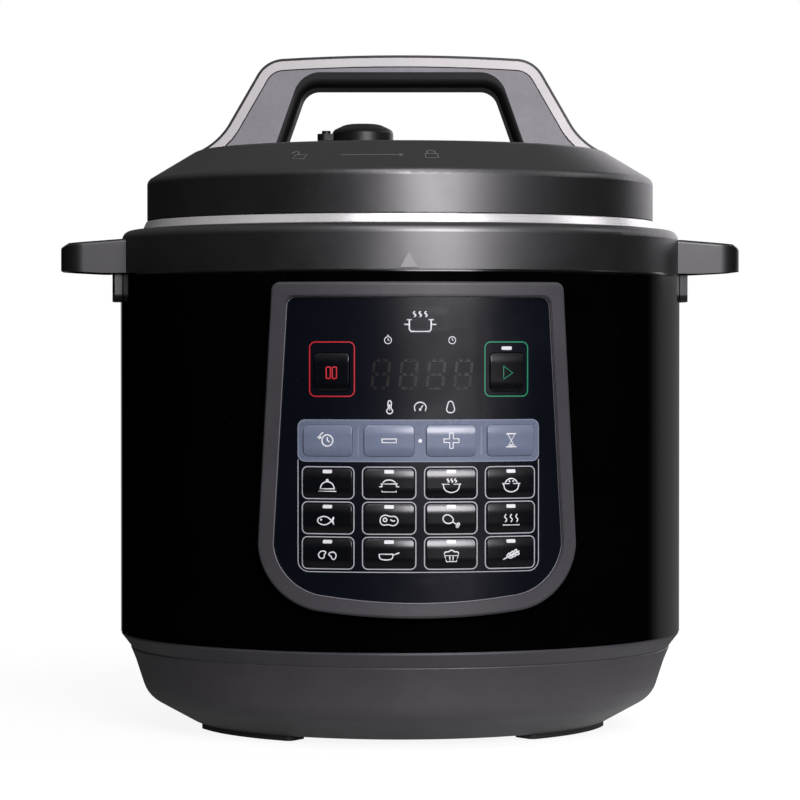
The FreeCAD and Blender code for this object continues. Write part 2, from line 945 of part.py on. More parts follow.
def pressure_switch():
    """Switch under the outer pot's floor, with the stem of its adjuster."""
    z1 = outer_floor_z
    z0 = z1 - switch_case_height
    half = switch_case_length / 2
    side = switch_case_width / 2
    case = block(switch_case_x - half, switch_case_x + half, -side, side, z0, z1)
    return join(case, rod(switch_case_width / 4, z0 - 4, z0 + 1, switch_case_x, 0))


# Control panel
def key_table():
    """Name, direction in degrees, height, half width and full height of every key."""
    keys = []
    main_z = panel_top_z - main_key_drop
    for name, side in (("key_cancel", -1), ("key_start", 1)):
        keys.append((name, side * main_key_angle, main_z, main_key_half_width, main_key_height))
    strip = ("key_delay", "key_minus", "key_plus", "key_time")
    for i, name in enumerate(strip):
        keys.append((name, (i - 1.5) * key_pitch, panel_top_z - strip_drop, key_half_width, strip_key_height))
    grid = (
        ("key_warm", "key_slow", "key_soup", "key_rice"),
        ("key_fish", "key_meat", "key_bird", "key_steam"),
        ("key_beans", "key_fry", "key_cake", "key_grain"),
    )
    for row, names in enumerate(grid):
        z = panel_top_z - first_row_drop - row * key_row_pitch
        for column, name in enumerate(names):
            keys.append((name, (column - 1.5) * key_pitch, z, key_half_width, key_height))
    return keys


def bowed_ring(z, height):
    """Ring round the axis whose face bows back towards its upper and lower edges."""
    brim = overlay_radius + key_brim
    drop = key_radius - brim
    sweep = (key_bow ** 2 + drop ** 2) / (2 * drop)
    halfway = key_radius - sweep + math.sqrt(sweep ** 2 - key_bow ** 2 / 4)
    z0 = z - height / 2
    z1 = z + height / 2
    return lathe([
        (key_back, z0),
        (brim, z0),
        ((halfway, z0 + key_bow / 2), (key_radius, z0 + key_bow)),
        (key_radius, z1 - key_bow),
        ((halfway, z1 - key_bow / 2), (brim, z1)),
        (key_back, z1),
    ])


def is_key_edge(edge):
    """Test for the edges round a key's face."""
    radii = [math.hypot(v.X, v.Y) for v in edge.Vertexes]
    crosses_face = isinstance(edge.Curve, Part.Circle) and min(radii) > key_radius - 1e-4
    return min(radii) > (key_back + overlay_radius) / 2 and not crosses_face


def key(direction, z, half_width, height):
    """Key with a crowned face and a post that reaches back towards its switch."""
    outline = rounded_box(0, z, half_width, height, key_corner)
    cap = prism(outline, -key_radius - 5, -key_back / 2).common(bowed_ring(z, height))
    cap = round_edges(cap, key_edge, is_key_edge)
    post = rod_y(post_radius, -key_back - 0.5, -plunger_reach(direction), 0, z)
    return turn(join(cap, post), direction)


def plunger_reach(direction):
    """How far out along a key's direction its post ends, one slip short of the plunger when pressed.

    The post meets the plunger's flat end at a slant, so its leading edge counts.
    """
    slant = math.radians(abs(direction))
    return (post_radius * math.sin(slant) - plunger_y) / math.cos(slant) + key_travel + slip


def key_openings(margin):
    """Prisms through the panel for all keys."""
    openings = []
    for name, direction, z, half_width, height in key_table():
        steps = rounded_box(0, z, half_width + margin, height + 2 * margin, key_corner + margin)
        openings.append(turn(prism(steps, -panel_radius - 5, -sleeve_radius / 2), direction))
    return openings


def board_bosses(radius, y_front):
    """Rods along Y at the corners of the control board."""
    x = circuit_half_width - circuit_boss_inset
    z1 = panel_top_z - circuit_drop - circuit_boss_inset
    z0 = z1 - circuit_height + 2 * circuit_boss_inset
    return [rod_y(radius, y_front, circuit_y, i * x, z) for i in (-1, 1) for z in (z0, z1)]


def panel_frame():
    """Raised edge and the carrier plate behind the overlay, in one piece."""
    edge = front_plate(panel_outline(0), frame_back, panel_radius)
    edge = round_edges(edge, frame_edge, on_radius(panel_radius))
    rim = front_plate(panel_outline(frame_band - rim_step), panel_radius - rim_step, panel_radius + 2)
    pocket = front_plate(panel_outline(frame_band), carrier_radius, panel_radius + 2)
    display_z = panel_top_z - display_drop
    window = block(-display_width / 2 - slip, display_width / 2 + slip, -panel_radius, 0,
                   display_z - display_height / 2 - slip, display_z + display_height / 2 + slip)
    bosses = board_bosses(circuit_boss_radius, -carrier_radius)
    posts = [boss.common(rod(frame_back + 0.5, 0, crown_top_z)) for boss in bosses]
    tray = carve(edge, rim, pocket, window, *key_openings(2 * key_gap))
    return join(tray, *posts)


def panel_overlay():
    plate = front_plate(panel_outline(frame_band + seat), carrier_radius, overlay_radius)
    return carve(plate, *key_openings(key_gap))


def display_module():
    z = panel_top_z - display_drop
    w = display_width / 2
    h = display_height / 2
    front = circuit_y - display_depth
    return block(-w, w, front, circuit_y, z - h, z + h)


def control_board():
    z1 = panel_top_z - circuit_drop
    w = circuit_half_width
    return block(-w, w, circuit_y, circuit_y + board_thickness, z1 - circuit_height, z1)


def key_switch(direction, z):
    x = -plunger_y * math.tan(math.radians(direction))
    s = switch_side / 2
    body = block(x - s, x + s, circuit_y - switch_height, circuit_y, z - s, z + s)
    return join(body, rod_y(plunger_radius, plunger_y, circuit_y - switch_height + 0.5, x, z))


# Lid
def lid_line():
    """Outer face of the lid from the skirt's bottom edge to the axis."""
    edge = lid_radius - cone_run
    return [
        (lid_radius, skirt_bottom_z),
        (lid_radius, skirt_top_z, 4),
        (edge, cone_top_z, 8),
        (edge * 0.4, crown_top_z, 300),
        (0, crown_top_z),
    ]


def lid_form(margin):
    """Full solid inside the lid's outer face, grown by margin."""
    return lathe([(0, skirt_bottom_z)] + shifted(lid_line(), -margin))


def lid_screw_places():
    return [(i * lid_screw_x, j * lid_screw_y) for i in (-1, 1) for j in (-1, 1)]


def lid_cover():
    shell = lathe(sheet(lid_line(), cover_wall))
    bosses = [rod(lid_boss_radius, boss_bottom_z(), cone_top_z, x, y) for x, y in lid_screw_places()]
    tools = [rod(lid_screw_radius + slip, 0, crown_top_z, x, y) for x, y in lid_screw_places()]
    tools.append(rod(pipe_radius + 2 * slip, 0, crown_top_z + 1, pipe_x, valve_y))
    tools.append(rod(float_radius + slip, 0, crown_top_z + 1, float_x, valve_y))
    return carve(join(shell, *bosses), *tools)


def dome_rim():
    return pot_radius - dome_inset


def dome_z(radius):
    """Height of the lid plate's upper face on its shallow dome."""
    return lid_seat_top_z + dome_rise * (1 - (radius / dome_rim()) ** 2)


def boss_bottom_z():
    nearest = math.hypot(lid_screw_x, lid_screw_y) - lid_boss_radius
    return dome_z(nearest) + seat


def lid_plate():
    """Steel plate with a rim that carries the bayonet tabs, flat over the seal and domed inside."""
    rim = dome_rim()
    half = rim / 2
    w = lid_wall
    top = lid_seat_top_z
    shell = lathe([
        (lid_rim_bore, tab_bottom_z),
        (lid_rim_radius, tab_bottom_z),
        (lid_rim_radius, top, 3.4),
        (rim, top),
        ((half, dome_z(half)), (0, dome_z(0))),
        (0, dome_z(0) - w),
        ((half, dome_z(half) - w), (rim, top - w)),
        (lid_rim_bore, top - w, 3.4 - w),
    ])
    root = lid_rim_bore + w / 2
    tip = tooth_radius - tab_reach
    tabs = [sector(tip, root, tab_bottom_z, tab_top_z, tab_angle(i), tab_span) for i in range(tooth_count)]
    tools = [rod(lid_screw_radius + slip, 0, crown_top_z, x, y) for x, y in lid_screw_places()]
    tools.append(rod(pipe_radius + seat, 0, crown_top_z, pipe_x, valve_y))
    tools.append(rod(float_radius + slip, 0, crown_top_z, float_x, valve_y))
    return carve(join(shell, *tabs), *tools)


def tab_angle(i):
    """Direction of a bayonet tab in the lid, half a pitch from the teeth when unlocked."""
    return (i + 0.5) * 360 / tooth_count - lid_rest_turn


def lid_screw(x, y):
    """Screw from under the lid plate, through a boss of the cover, up into the handle."""
    reach = math.hypot(lid_screw_x, lid_screw_y) + lid_screw_head_radius
    head_top = dome_z(reach) - lid_wall - seat
    head = rod(lid_screw_head_radius, head_top - lid_screw_head_height, head_top, x, y)
    return join(head, rod(lid_screw_radius, head_top - 1, cone_top_z + lid_screw_rise, x, y))


def sealing_ring():
    z0 = seal_bottom_z
    z1 = seal_top_z
    outer = lid_rim_bore - seal_inset
    inner = outer - seal_width
    return lathe([
        (inner, z0 + seal_lip, 1),
        (inner, z1 - 3.6, 1),
        (inner + 3.6, z1, 1),
        (outer, z1, 1.5),
        (outer, z0 + 6, 2),
        (outer - 3.4, z0, 1),
        (outer - 6.4, z0, 1),
        (outer - 6.4, z0 + seal_lip),
    ])


def ring_rack():
    """Steel band on four posts that keeps the sealing ring in place."""
    r1 = lid_rim_bore - seal_inset - seal_width - rack_gap
    r0 = r1 - rack_wall
    z0 = seal_bottom_z + rack_lift
    band = hoop(r0, r1, z0, z0 + rack_height)
    posts = [sector(r0, r1, z0, lid_seat_z, 45 + 90 * i, 4) for i in range(4)]
    return join(band, *posts)


# Lid handle
def arch(top, foot_half, foot_z, lean, corner):
    """Right side of an arch: flat top, rounded corner, side that leans out towards its foot."""
    out = V(math.cos(math.radians(lean)), 0, math.sin(math.radians(lean)))
    centre_z = top - corner
    centre_x = foot_half - (corner + out.z * (centre_z - foot_z)) / out.x
    half = math.radians((90 + lean) / 2)
    via = (centre_x + corner * math.cos(half), centre_z + corner * math.sin(half))
    side = (centre_x + corner * out.x, centre_z + corner * out.z)
    return [(centre_x, top), (via, side), (foot_half, foot_z)]


def bowed_arch(top, foot_half, foot_z, lean, corner, bow):
    """Right side of an arch whose top is an arc of radius bow."""
    out = V(math.cos(math.radians(lean)), 0, math.sin(math.radians(lean)))
    along = V(-out.z, 0, out.x)
    crown = V(0, 0, top - bow)
    start = V(foot_half, 0, foot_z) - out * corner - crown
    b = start.dot(along)
    run = math.sqrt(b * b - start.dot(start) + (bow - corner) ** 2) - b
    centre = crown + start + along * run
    up = (centre - crown).normalize()
    peak = crown + up * bow
    side = centre + out * corner
    via = centre + (up + out).normalize() * corner
    return [((0, top), (peak.x, peak.z)), ((via.x, via.z), (side.x, side.z)), (foot_half, foot_z)]


def handle_arch(inset):
    """Outer edge of the lid handle seen from the front, moved inwards by inset."""
    out_x = math.cos(math.radians(arch_lean))
    out_z = math.sin(math.radians(arch_lean))
    foot_half = arch_foot_half - inset * out_x
    foot_z = cone_top_z + arch_foot_rise - inset * out_z
    top = cone_top_z + arch_top_rise - inset
    right = bowed_arch(top, foot_half, foot_z, arch_lean, arch_corner - inset, arch_bow - inset)
    toe = (arch_foot_half + arch_flare - inset * 0.6, cone_top_z - 0.5 - inset * 0.8)
    right.append(((foot_half + 5.4, foot_z - 6.4), toe))
    right.append((toe[0], skirt_top_z))
    return mirrored(right)


def handle_hole(outset_side, top):
    """Edge of the finger hole, moved outwards."""
    half = hole_half + outset_side / math.cos(math.radians(hole_lean))
    corner = hole_corner + outset_side
    right = arch(top, half, cone_top_z + hole_foot_rise, hole_lean, corner)
    drop = hole_foot_rise + cone_rise
    right.append((half + drop * math.tan(math.radians(hole_lean)), skirt_top_z))
    return mirrored(right)


def arch_layer(outer, inner, half_depth):
    """Arch between two edges, standing on the lid."""
    layer = prism(outer, -half_depth, half_depth).cut(prism(inner, -half_depth - 1, half_depth + 1))
    return layer.cut(lid_form(seat))


def grip_edge(outset):
    """Edge between the dark lining of the finger hole and the face of the handle."""
    return handle_hole(grip_side + outset, cone_top_z + grip_top_rise + outset)


def lid_handle():
    edge = handle_arch(cap_thickness + trim_thickness + glue)
    body = arch_layer(edge, grip_edge(glue), arch_half_depth)
    top = cone_top_z + lid_screw_rise + 1
    return carve(body, *[rod(lid_screw_radius + thread, 0, top, x, y) for x, y in lid_screw_places()])


def handle_trim():
    outer = handle_arch(cap_thickness + glue)
    inner = handle_arch(cap_thickness + trim_thickness)
    return arch_layer(outer, inner, arch_half_depth + trim_proud)


def handle_cap():
    return arch_layer(handle_arch(0), handle_arch(cap_thickness), arch_half_depth - cap_recess)


def handle_grip():
    """Dark lining of the finger hole, with its front and back edges well rounded."""
    d = arch_half_depth
    hole = handle_hole(0, cone_top_z + hole_top_rise)
    grip = prism(grip_edge(0), -d, d).cut(prism(hole, -d - 1, d + 1))
    rims = [wire(hole).translated(V(0, side * d, 0)) for side in (-1, 1)]

    def is_rim(edge):
        middle = Part.Vertex(edge.valueAt((edge.FirstParameter + edge.LastParameter) / 2))
        return min(middle.distToShape(rim)[0] for rim in rims) < 1e-3

    return round_edges(grip, grip_round, is_rim).cut(lid_form(seat))


# Valves
def nut_top_z():
    """Top of the nut under the lid plate, where the plate is lowest over it."""
    return dome_z(math.hypot(pipe_x, valve_y) + nut_radius) - lid_wall - seat


def steam_pipe():
    top = cone_top_z + pipe_top_rise
    nut_z = nut_top_z()
    low = nut_z - nut_height - pipe_drop
    tube = rod(pipe_radius, low, top, pipe_x, valve_y)
    nut = rod(nut_radius, nut_z - nut_height, nut_z, pipe_x, valve_y)
    return join(tube, nut).cut(rod(pipe_bore, low, top, pipe_x, valve_y))


def shield_cap():
    """Slotted cup that keeps food out of the steam pipe's lower end."""
    z1 = nut_top_z() - nut_height - seat
    z0 = z1 - shield_height
    w = shield_wall
    shell = lathe([
        (0, z0),
        (shield_radius, z0, 1.5),
        (shield_radius, z1),
        (pipe_radius + seat, z1),
        (pipe_radius + seat, z1 - w),
        (shield_radius - w, z1 - w),
        (shield_radius - w, z0 + w),
        (0, z0 + w),
    ])
    slot = block(shield_radius / 2, shield_radius + 1, -1.2, 1.2, z0 + 2.5, z1 - 2.5)
    shell = carve(shell, *[turn(slot, 60 * i) for i in range(6)])
    shell.translate(V(pipe_x, valve_y, 0))
    return shell


def steam_valve_knob():
    """Round weight on the steam pipe with a lever towards -X."""
    z0 = cone_top_z + knob_gap
    z1 = z0 + knob_height
    r = knob_radius
    body = lathe([(0, z0), (r, z0, 1), (r, z1 - 3.6, 3), (r - 7, z1 - 0.3, 12), (0, z1)])
    w = lever_half_width
    lever_z = z0 + lever_lift
    lever_top = lever_z + lever_thickness
    lever = block(-lever_length, -r / 2, -w, w, lever_z, lever_top)
    lever = round_edges(lever, 0.85 * w, lambda edge: is_upright(edge) and edge.BoundBox.XMax < -r)
    thumb = rod(w / 2, lever_top - 1, lever_top + thumb_height, w - lever_length, 0)
    knob = join(body, lever, thumb)
    knob = knob.cut(rod(pipe_radius + running, z0 - 1, cone_top_z + pipe_top_rise + 1))
    knob.translate(V(pipe_x, valve_y, 0))
    return knob


def float_flange_z():
    """Top of the float pin's lower disc at rest."""
    under = dome_z(math.hypot(float_x, valve_y) + float_head_radius) - lid_wall
    return under - 2 * slip - float_travel - float_seal_height


def float_pin():
    z1 = float_flange_z()
    head = rod(float_head_radius, z1 - float_head_height, z1, float_x, valve_y)
    return join(head, rod(float_radius, z1 - 1, cone_top_z + float_top_rise, float_x, valve_y))


def float_seal():
    z1 = float_flange_z()
    seal = hoop(float_radius + thread, float_head_radius, z1, z1 + float_seal_height)
    seal.translate(V(float_x, valve_y, 0))
    return seal


# Condensation cup
def cup_top_z():
    return ring_bottom_z - cup_drop


def cup_back():
    """Radius of the face of the cup that hangs against its bracket."""
    return sleeve_radius + seat + cup_plate + slip


def hooks(margin):
    """Blocks for the two hooks, grown by margin."""
    w = hook_width / 2 + margin
    z1 = cup_top_z() - hook_drop + margin
    z0 = z1 - hook_height - 2 * margin
    y0 = sleeve_radius - 2
    y1 = sleeve_radius + seat + cup_plate + hook_length + margin
    return [block(x - w, x + w, y0, y1, z0, z1) for x in (-hook_x, hook_x)]


def cup_bracket():
    z1 = cup_top_z() + cup_plate_rise
    bore = sleeve_radius + seat
    plate = hoop(bore, bore + cup_plate, z1 - cup_plate_height, z1)
    plate = plate.common(block(-cup_plate_half, cup_plate_half, 0, 2 * bore, 0, z1))
    arms = [hook.cut(rod(bore + cup_plate / 2, 0, z1)) for hook in hooks(0)]
    return join(plate, *arms)


def cup_form(inset, z0, z1):
    """Cup seen from above, curved to the sleeve, moved inwards by inset, as an upright prism."""
    x = cup_half_width - inset
    y1 = cup_back() + cup_depth - inset
    box = block(-x, x, y1 / 2, y1, z0, z1)
    box = round_edges(box, cup_corner - inset, lambda edge: is_upright(edge) and edge.BoundBox.YMin > y1 - 1)
    return box.cut(rod(cup_back() + inset, 0, ring_top_z))


def condensation_cup():
    """Open cup at the back with slots for the hooks."""
    z1 = cup_top_z()
    z0 = z1 - cup_height
    return carve(cup_form(0, z0, z1), cup_form(cup_wall, z0 + cup_wall, z1 + 1), *hooks(slip))


def main():
    os.makedirs("parts", exist_ok=True)
    save("base_housing", base_housing())
    save("bottom_cover", bottom_cover())
    for name, direction in feet_directions().items():
        save("foot_" + name, foot(direction))
    screws = [cover_screw(x, y) for x, y in cover_screw_places()]
    screws += [handle_screw(direction) for direction in handle_directions()]
    save("housing_screws", *screws)
    save("power_board", *power_board())
    save("power_inlet", power_inlet())
    save("inlet_pins", *[pin_blade(x, z, 0) for x, z in pin_places()])
    save("sleeve", sleeve())
    save("top_ring", top_ring())
    save("rim_band", rim_band())
    handle = side_handle()
    save("side_handle_right", handle)
    save("side_handle_left", turn(handle, 180))

    save("outer_pot", outer_pot())
    save("inner_pot", inner_pot())
    save("heating_plate", heating_plate())
    save("heater_tube", heater_tube())
    save("sensor_cap", sensor_cap())
    save("sensor_spring", sensor_spring())
    save("pressure_switch", pressure_switch())

    save("panel_frame", panel_frame())
    save("panel_overlay", panel_overlay())
    save("display_module", display_module())
    switches = [key_switch(direction, z) for name, direction, z, half_width, height in key_table()]
    save("control_board", control_board(), *switches)
    for name, direction, z, half_width, height in key_table():
        save(name, key(direction, z, half_width, height))

    lid = {
        "lid_cover": lid_cover(),
        "lid_plate": lid_plate(),
        "ring_rack": ring_rack(),
        "lid_handle": lid_handle(),
        "handle_trim": handle_trim(),
        "handle_cap": handle_cap(),
        "handle_grip": handle_grip(),
        "steam_pipe": steam_pipe(),
        "shield_cap": shield_cap(),
        "steam_valve_knob": steam_valve_knob(),
        "float_pin": float_pin(),
        "float_seal": float_seal(),
    }
    for name, shape in lid.items():
        save(name, turn(shape, lid_rest_turn))
    save("lid_screws", *[turn(lid_screw(x, y), lid_rest_turn) for x, y in lid_screw_places()])
    save("sealing_ring", sealing_ring())

    save("cup_bracket", cup_bracket())
    save("condensation_cup", condensation_cup())


main()
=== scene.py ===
import math

import bmesh
import bpy
from mathutils import Matrix, Vector


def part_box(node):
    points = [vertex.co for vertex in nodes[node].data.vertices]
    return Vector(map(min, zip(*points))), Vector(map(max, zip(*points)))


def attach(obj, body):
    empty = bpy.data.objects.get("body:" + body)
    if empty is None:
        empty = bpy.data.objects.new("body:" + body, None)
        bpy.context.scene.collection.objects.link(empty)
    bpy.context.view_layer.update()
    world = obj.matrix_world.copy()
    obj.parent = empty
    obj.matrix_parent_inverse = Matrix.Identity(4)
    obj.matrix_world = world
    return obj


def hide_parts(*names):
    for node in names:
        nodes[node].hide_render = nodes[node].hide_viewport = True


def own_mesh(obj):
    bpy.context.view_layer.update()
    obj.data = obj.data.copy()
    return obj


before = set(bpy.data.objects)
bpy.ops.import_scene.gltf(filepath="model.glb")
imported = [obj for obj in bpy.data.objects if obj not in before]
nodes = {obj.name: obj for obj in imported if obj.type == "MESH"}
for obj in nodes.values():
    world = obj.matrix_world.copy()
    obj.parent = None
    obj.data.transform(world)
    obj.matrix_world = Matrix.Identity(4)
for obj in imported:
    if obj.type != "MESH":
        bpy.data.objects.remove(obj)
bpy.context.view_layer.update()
scene = bpy.context.scene
mm = 0.001
micron = 0.000001


def centred(count):
    """Steps of one, as many as count, with nought in the middle of them."""
    return [step - (count - 1) / 2 for step in range(count)]


# Places on the cooker, in metres and in degrees from the front
overlay_radius = 143.0 * mm
panel_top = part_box("panel_frame")[1].z
ring_low = panel_top + 6.0 * mm
mark_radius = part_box("top_ring")[1].x + 0.5 * mm
lid_turn = -3.7
skirt_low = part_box("lid_cover")[0].z
cone_low = (125.6 * mm, skirt_low + 19.7 * mm)
cone_top = (101.1 * mm, skirt_low + 34.5 * mm)
handle_half_depth = 19.0 * mm

# Keys, their faces crowned towards the upper and lower edge
key_radius = 144.1 * mm
key_drop = 1.0 * mm
key_bow = 4.5 * mm
key_width = 23.0 * mm
key_height = 13.2 * mm
key_corner = 2.2 * mm
key_spacing = 28.6 * mm
key_pitch = math.degrees(key_spacing / key_radius)
column_turns = [step * key_pitch for step in centred(4)]
row_z = [panel_top - drop * mm for drop in (92.0, 108.05, 124.1)]
strip_key_height = 14.4 * mm
strip_z = panel_top - 72.7 * mm
main_key_height = 17.6 * mm
main_turn = 16.3
main_z = panel_top - 41.4 * mm


# Effects that several finishes share

def feed(tree, made, inputs):
    """Links or sets the inputs of a node."""
    for key, value in inputs.items():
        if isinstance(value, bpy.types.NodeSocket):
            tree.links.new(value, made.inputs[key])
        else:
            made.inputs[key].default_value = value


def node(tree, kind, inputs=None, **settings):
    made = tree.nodes.new("ShaderNode" + kind)
    for key, value in settings.items():
        setattr(made, key, value)
    feed(tree, made, inputs or {})
    return made


def math_of(tree, operation, a, b=0.0, c=0.0):
    return node(tree, "Math", {0: a, 1: b, 2: c}, operation=operation).outputs[0]


def product(tree, a, b):
    return math_of(tree, "MULTIPLY", a, b)


def larger(tree, a, b):
    return math_of(tree, "MAXIMUM", a, b)


def shared(tree, first, second, share):
    """A share of the first value and the rest of the second."""
    return math_of(tree, "MULTIPLY_ADD", first, share, product(tree, second, 1.0 - share))


def spread(tree, value, low=0.0, high=1.0, start=0.0, end=1.0, ease="LINEAR"):
    """Goes from low to high while the value goes from start to end."""
    return node(tree, "MapRange", {0: value, 1: start, 2: end, 3: low, 4: high},
                interpolation_type=ease).outputs[0]


def noise(tree, vector, scale, detail=2.0, rough=0.5, distortion=0.0):
    return node(tree, "TexNoise", {"Vector": vector, "Scale": scale, "Detail": detail, "Roughness": rough,
                                   "Distortion": distortion}).outputs["Fac"]


def cells(tree, vector, scale, **inputs):
    return node(tree, "TexVoronoi", {"Vector": vector, "Scale": scale, **inputs}).outputs


def blend_tones(tree, mask, dark, light):
    """Mixes two colours, which are inputs 6 and 7 and output 2 of a Mix node."""
    tones = [tone if isinstance(tone, bpy.types.NodeSocket) else (*tone, 1.0) for tone in (dark, light)]
    return node(tree, "Mix", {"Factor": mask, 6: tones[0], 7: tones[1]}, data_type="RGBA").outputs[2]


def new_group(name, inputs, outputs):
    """Starts a group: its tree, what it is given and the node that its results go to."""
    tree = bpy.data.node_groups.new(name, "ShaderNodeTree")
    for title, kind, value in inputs:
        socket = tree.interface.new_socket(title, in_out="INPUT", socket_type="NodeSocket" + kind)
        if value is not None:
            socket.default_value = value
    for title in outputs:
        tree.interface.new_socket(title, in_out="OUTPUT", socket_type="NodeSocketFloat")
    given = tree.nodes.new("NodeGroupInput").outputs
    results = tree.nodes.new("NodeGroupOutput")
    return tree, given, results


def make_moulded_grain():
    """Spark-eroded mould texture: fine pits in Height, slow mottling in Tone."""
    tree, given, results = new_group(
        "moulded_grain", [("Vector", "Vector", None), ("Pits", "Float", 1400.0)], ["Height", "Tone"])
    where = given["Vector"]
    pit_height = 0.5
    pits = cells(tree, where, given["Pits"])["Distance"]
    fine = noise(tree, where, given["Pits"], detail=3.0, rough=0.6)
    slow = noise(tree, where, scale=26.0, detail=3.0, rough=0.55)
    speck = noise(tree, where, scale=420.0)
    mottling = shared(tree, slow, speck, share=0.65)
    feed(tree, results, {"Height": math_of(tree, "MULTIPLY_ADD", pits, pit_height, fine),
                         "Tone": spread(tree, mottling, start=0.3, end=0.7)})
    return tree


def make_handling():
    """Traces of wiping and handling: broad Smear, thin Hairline, few Dust specks."""
    tree, given, results = new_group(
        "handling", [("Vector", "Vector", None)], ["Smear", "Hairline", "Dust"])
    where = given["Vector"]
    broad = noise(tree, where, scale=11.0, detail=4.0, rough=0.6, distortion=0.7)
    drawn_out = node(tree, "Mapping", {"Vector": where, "Rotation": (0.4, 0.7, 0.3),
                                       "Scale": (14.0, 700.0, 240.0)}).outputs[0]
    lines = noise(tree, drawn_out, scale=1.0)
    grit = cells(tree, where, scale=210.0)["Distance"]
    near_grit = spread(tree, grit, low=1.0, high=0.0, start=0.03, end=0.07)
    dusty = spread(tree, noise(tree, where, scale=60.0, detail=1.0), start=0.55, end=0.6)
    feed(tree, results, {"Smear": spread(tree, broad, start=0.35, end=0.7),
                         "Hairline": spread(tree, lines, start=0.62, end=0.72),
                         "Dust": product(tree, near_grit, dusty)})
    return tree


def make_turned_lines():
    """Fine grooves that run round the upright axis, as on spun and turned metal."""
    tree, given, results = new_group(
        "turned_lines", [("Vector", "Vector", None), ("Fineness", "Float", 2600.0)], ["Lines", "Patch"])
    groove_drift = 1.6
    patch_drift = 2.2
    x, y, z = node(tree, "SeparateXYZ", {0: given["Vector"]}).outputs
    across = math_of(tree, "SQRT", math_of(tree, "MULTIPLY_ADD", x, x, product(tree, y, y)))
    turn = math_of(tree, "ARCTAN2", y, x)
    groove = node(tree, "CombineXYZ", {0: product(tree, across, given["Fineness"]),
                                       1: product(tree, z, given["Fineness"]),
                                       2: product(tree, turn, groove_drift)}).outputs[0]
    slow = node(tree, "CombineXYZ", {0: across, 1: product(tree, turn, patch_drift), 2: z}).outputs[0]
    lines = noise(tree, groove, scale=1.0, detail=3.0, rough=0.6)
    feed(tree, results, {"Lines": spread(tree, lines, start=0.25, end=0.75),
                         "Patch": spread(tree, noise(tree, slow, scale=3.0), start=0.3, end=0.7)})
    return tree


def make_circuit_tracks():
    """Printed tracks and solder pads on a board."""
    tree, given, results = new_group(
        "circuit_tracks", [("Vector", "Vector", None)], ["Tracks", "Pads"])
    where = given["Vector"]
    grid = node(tree, "Mapping", {"Vector": where, "Scale": (260.0, 260.0, 260.0)}).outputs[0]
    lanes = node(tree, "TexBrick", {"Vector": grid, "Scale": 1.0, "Mortar Size": 0.09,
                                    "Brick Width": 1.7, "Row Height": 0.5}).outputs["Fac"]
    dots = cells(tree, where, scale=190.0, Randomness=0.35)["Distance"]
    feed(tree, results, {"Tracks": lanes,
                         "Pads": spread(tree, dots, low=1.0, high=0.0, start=0.14, end=0.2)})
    return tree


grain_group = make_moulded_grain()
handling_group = make_handling()
turned_group = make_turned_lines()
tracks_group = make_circuit_tracks()


# Finishes

def use_group(tree, group, inputs):
    return node(tree, "Group", inputs, node_tree=group).outputs


def start_finish(name):
    finish = bpy.data.materials.new(name)
    finish.use_nodes = True
    tree = finish.node_tree
    where = node(tree, "TexCoord").outputs["Object"]
    return finish, tree, tree.nodes["Principled BSDF"], where


def shaded(colour, tone):
    return [channel * (1.0 - tone) for channel in colour]


def relief(tree, height, depth):
    return node(tree, "Bump", {"Height": height, "Distance": depth, "Strength": 1.0}).outputs[0]


def moulded(name, colour, rough, pits=1500.0, depth=10.0 * micron, tone=0.16, rough_play=0.08,
            coat=0.0, coat_rough=0.05, dust=0.0, specular=0.5, ior=1.5):
    """Moulded plastic: mottled colour, wiped roughness, eroded grain."""
    finish, tree, shader, where = start_finish(name)
    grain = use_group(tree, grain_group, {"Vector": where, "Pits": pits})
    handling = use_group(tree, handling_group, {"Vector": where})
    hairline_share = 0.6
    dust_grey = (0.4, 0.4, 0.39)
    least_light = 0.0004  # lets near-black plastic show its mottling
    light = [channel * (1.0 + tone) + least_light for channel in colour]
    body = blend_tones(tree, grain["Tone"], shaded(colour, tone), light)
    if dust:
        body = blend_tones(tree, product(tree, handling["Dust"], dust), body, dust_grey)
    wiped = spread(tree, handling["Smear"], rough - rough_play, rough + rough_play)
    lined = math_of(tree, "MULTIPLY_ADD", handling["Hairline"], rough_play * hairline_share, wiped)
    feed(tree, shader, {"Base Color": body, "Roughness": lined, "Coat Weight": coat,
                        "Coat Roughness": coat_rough, "Specular IOR Level": specular, "IOR": ior,
                        "Normal": relief(tree, grain["Height"], depth)})
    return finish


def turned_metal(name, colour, rough, fineness=2600.0, depth=4.0 * micron, rough_play=0.08, tone=0.12,
                 metallic=1.0):
    """Spun or turned metal with grooves round the axis and slow patches."""
    finish, tree, shader, where = start_finish(name)
    turned = use_group(tree, turned_group, {"Vector": where, "Fineness": fineness})
    handling = use_group(tree, handling_group, {"Vector": where})
    lines = shared(tree, turned["Lines"], turned["Patch"], share=0.6)
    play = shared(tree, handling["Smear"], turned["Lines"], share=0.5)
    feed(tree, shader, {"Base Color": blend_tones(tree, lines, shaded(colour, tone), colour),
                        "Roughness": spread(tree, play, rough - rough_play, rough + rough_play),
                        "Metallic": metallic,
                        "Normal": relief(tree, turned["Lines"], depth)})
    return finish


def cast_metal(name, colour, rough, metallic=1.0, pits=700.0, depth=50.0 * micron, tone=0.18,
               rough_play=0.07):
    """Cast, plated or painted metal with an uneven skin."""
    finish, tree, shader, where = start_finish(name)
    grain = use_group(tree, grain_group, {"Vector": where, "Pits": pits})
    handling = use_group(tree, handling_group, {"Vector": where})
    feed(tree, shader, {"Base Color": blend_tones(tree, grain["Tone"], shaded(colour, tone), colour),
                        "Roughness": spread(tree, handling["Smear"], rough - rough_play, rough + rough_play),
                        "Metallic": metallic,
                        "Normal": relief(tree, grain["Height"], depth)})
    return finish


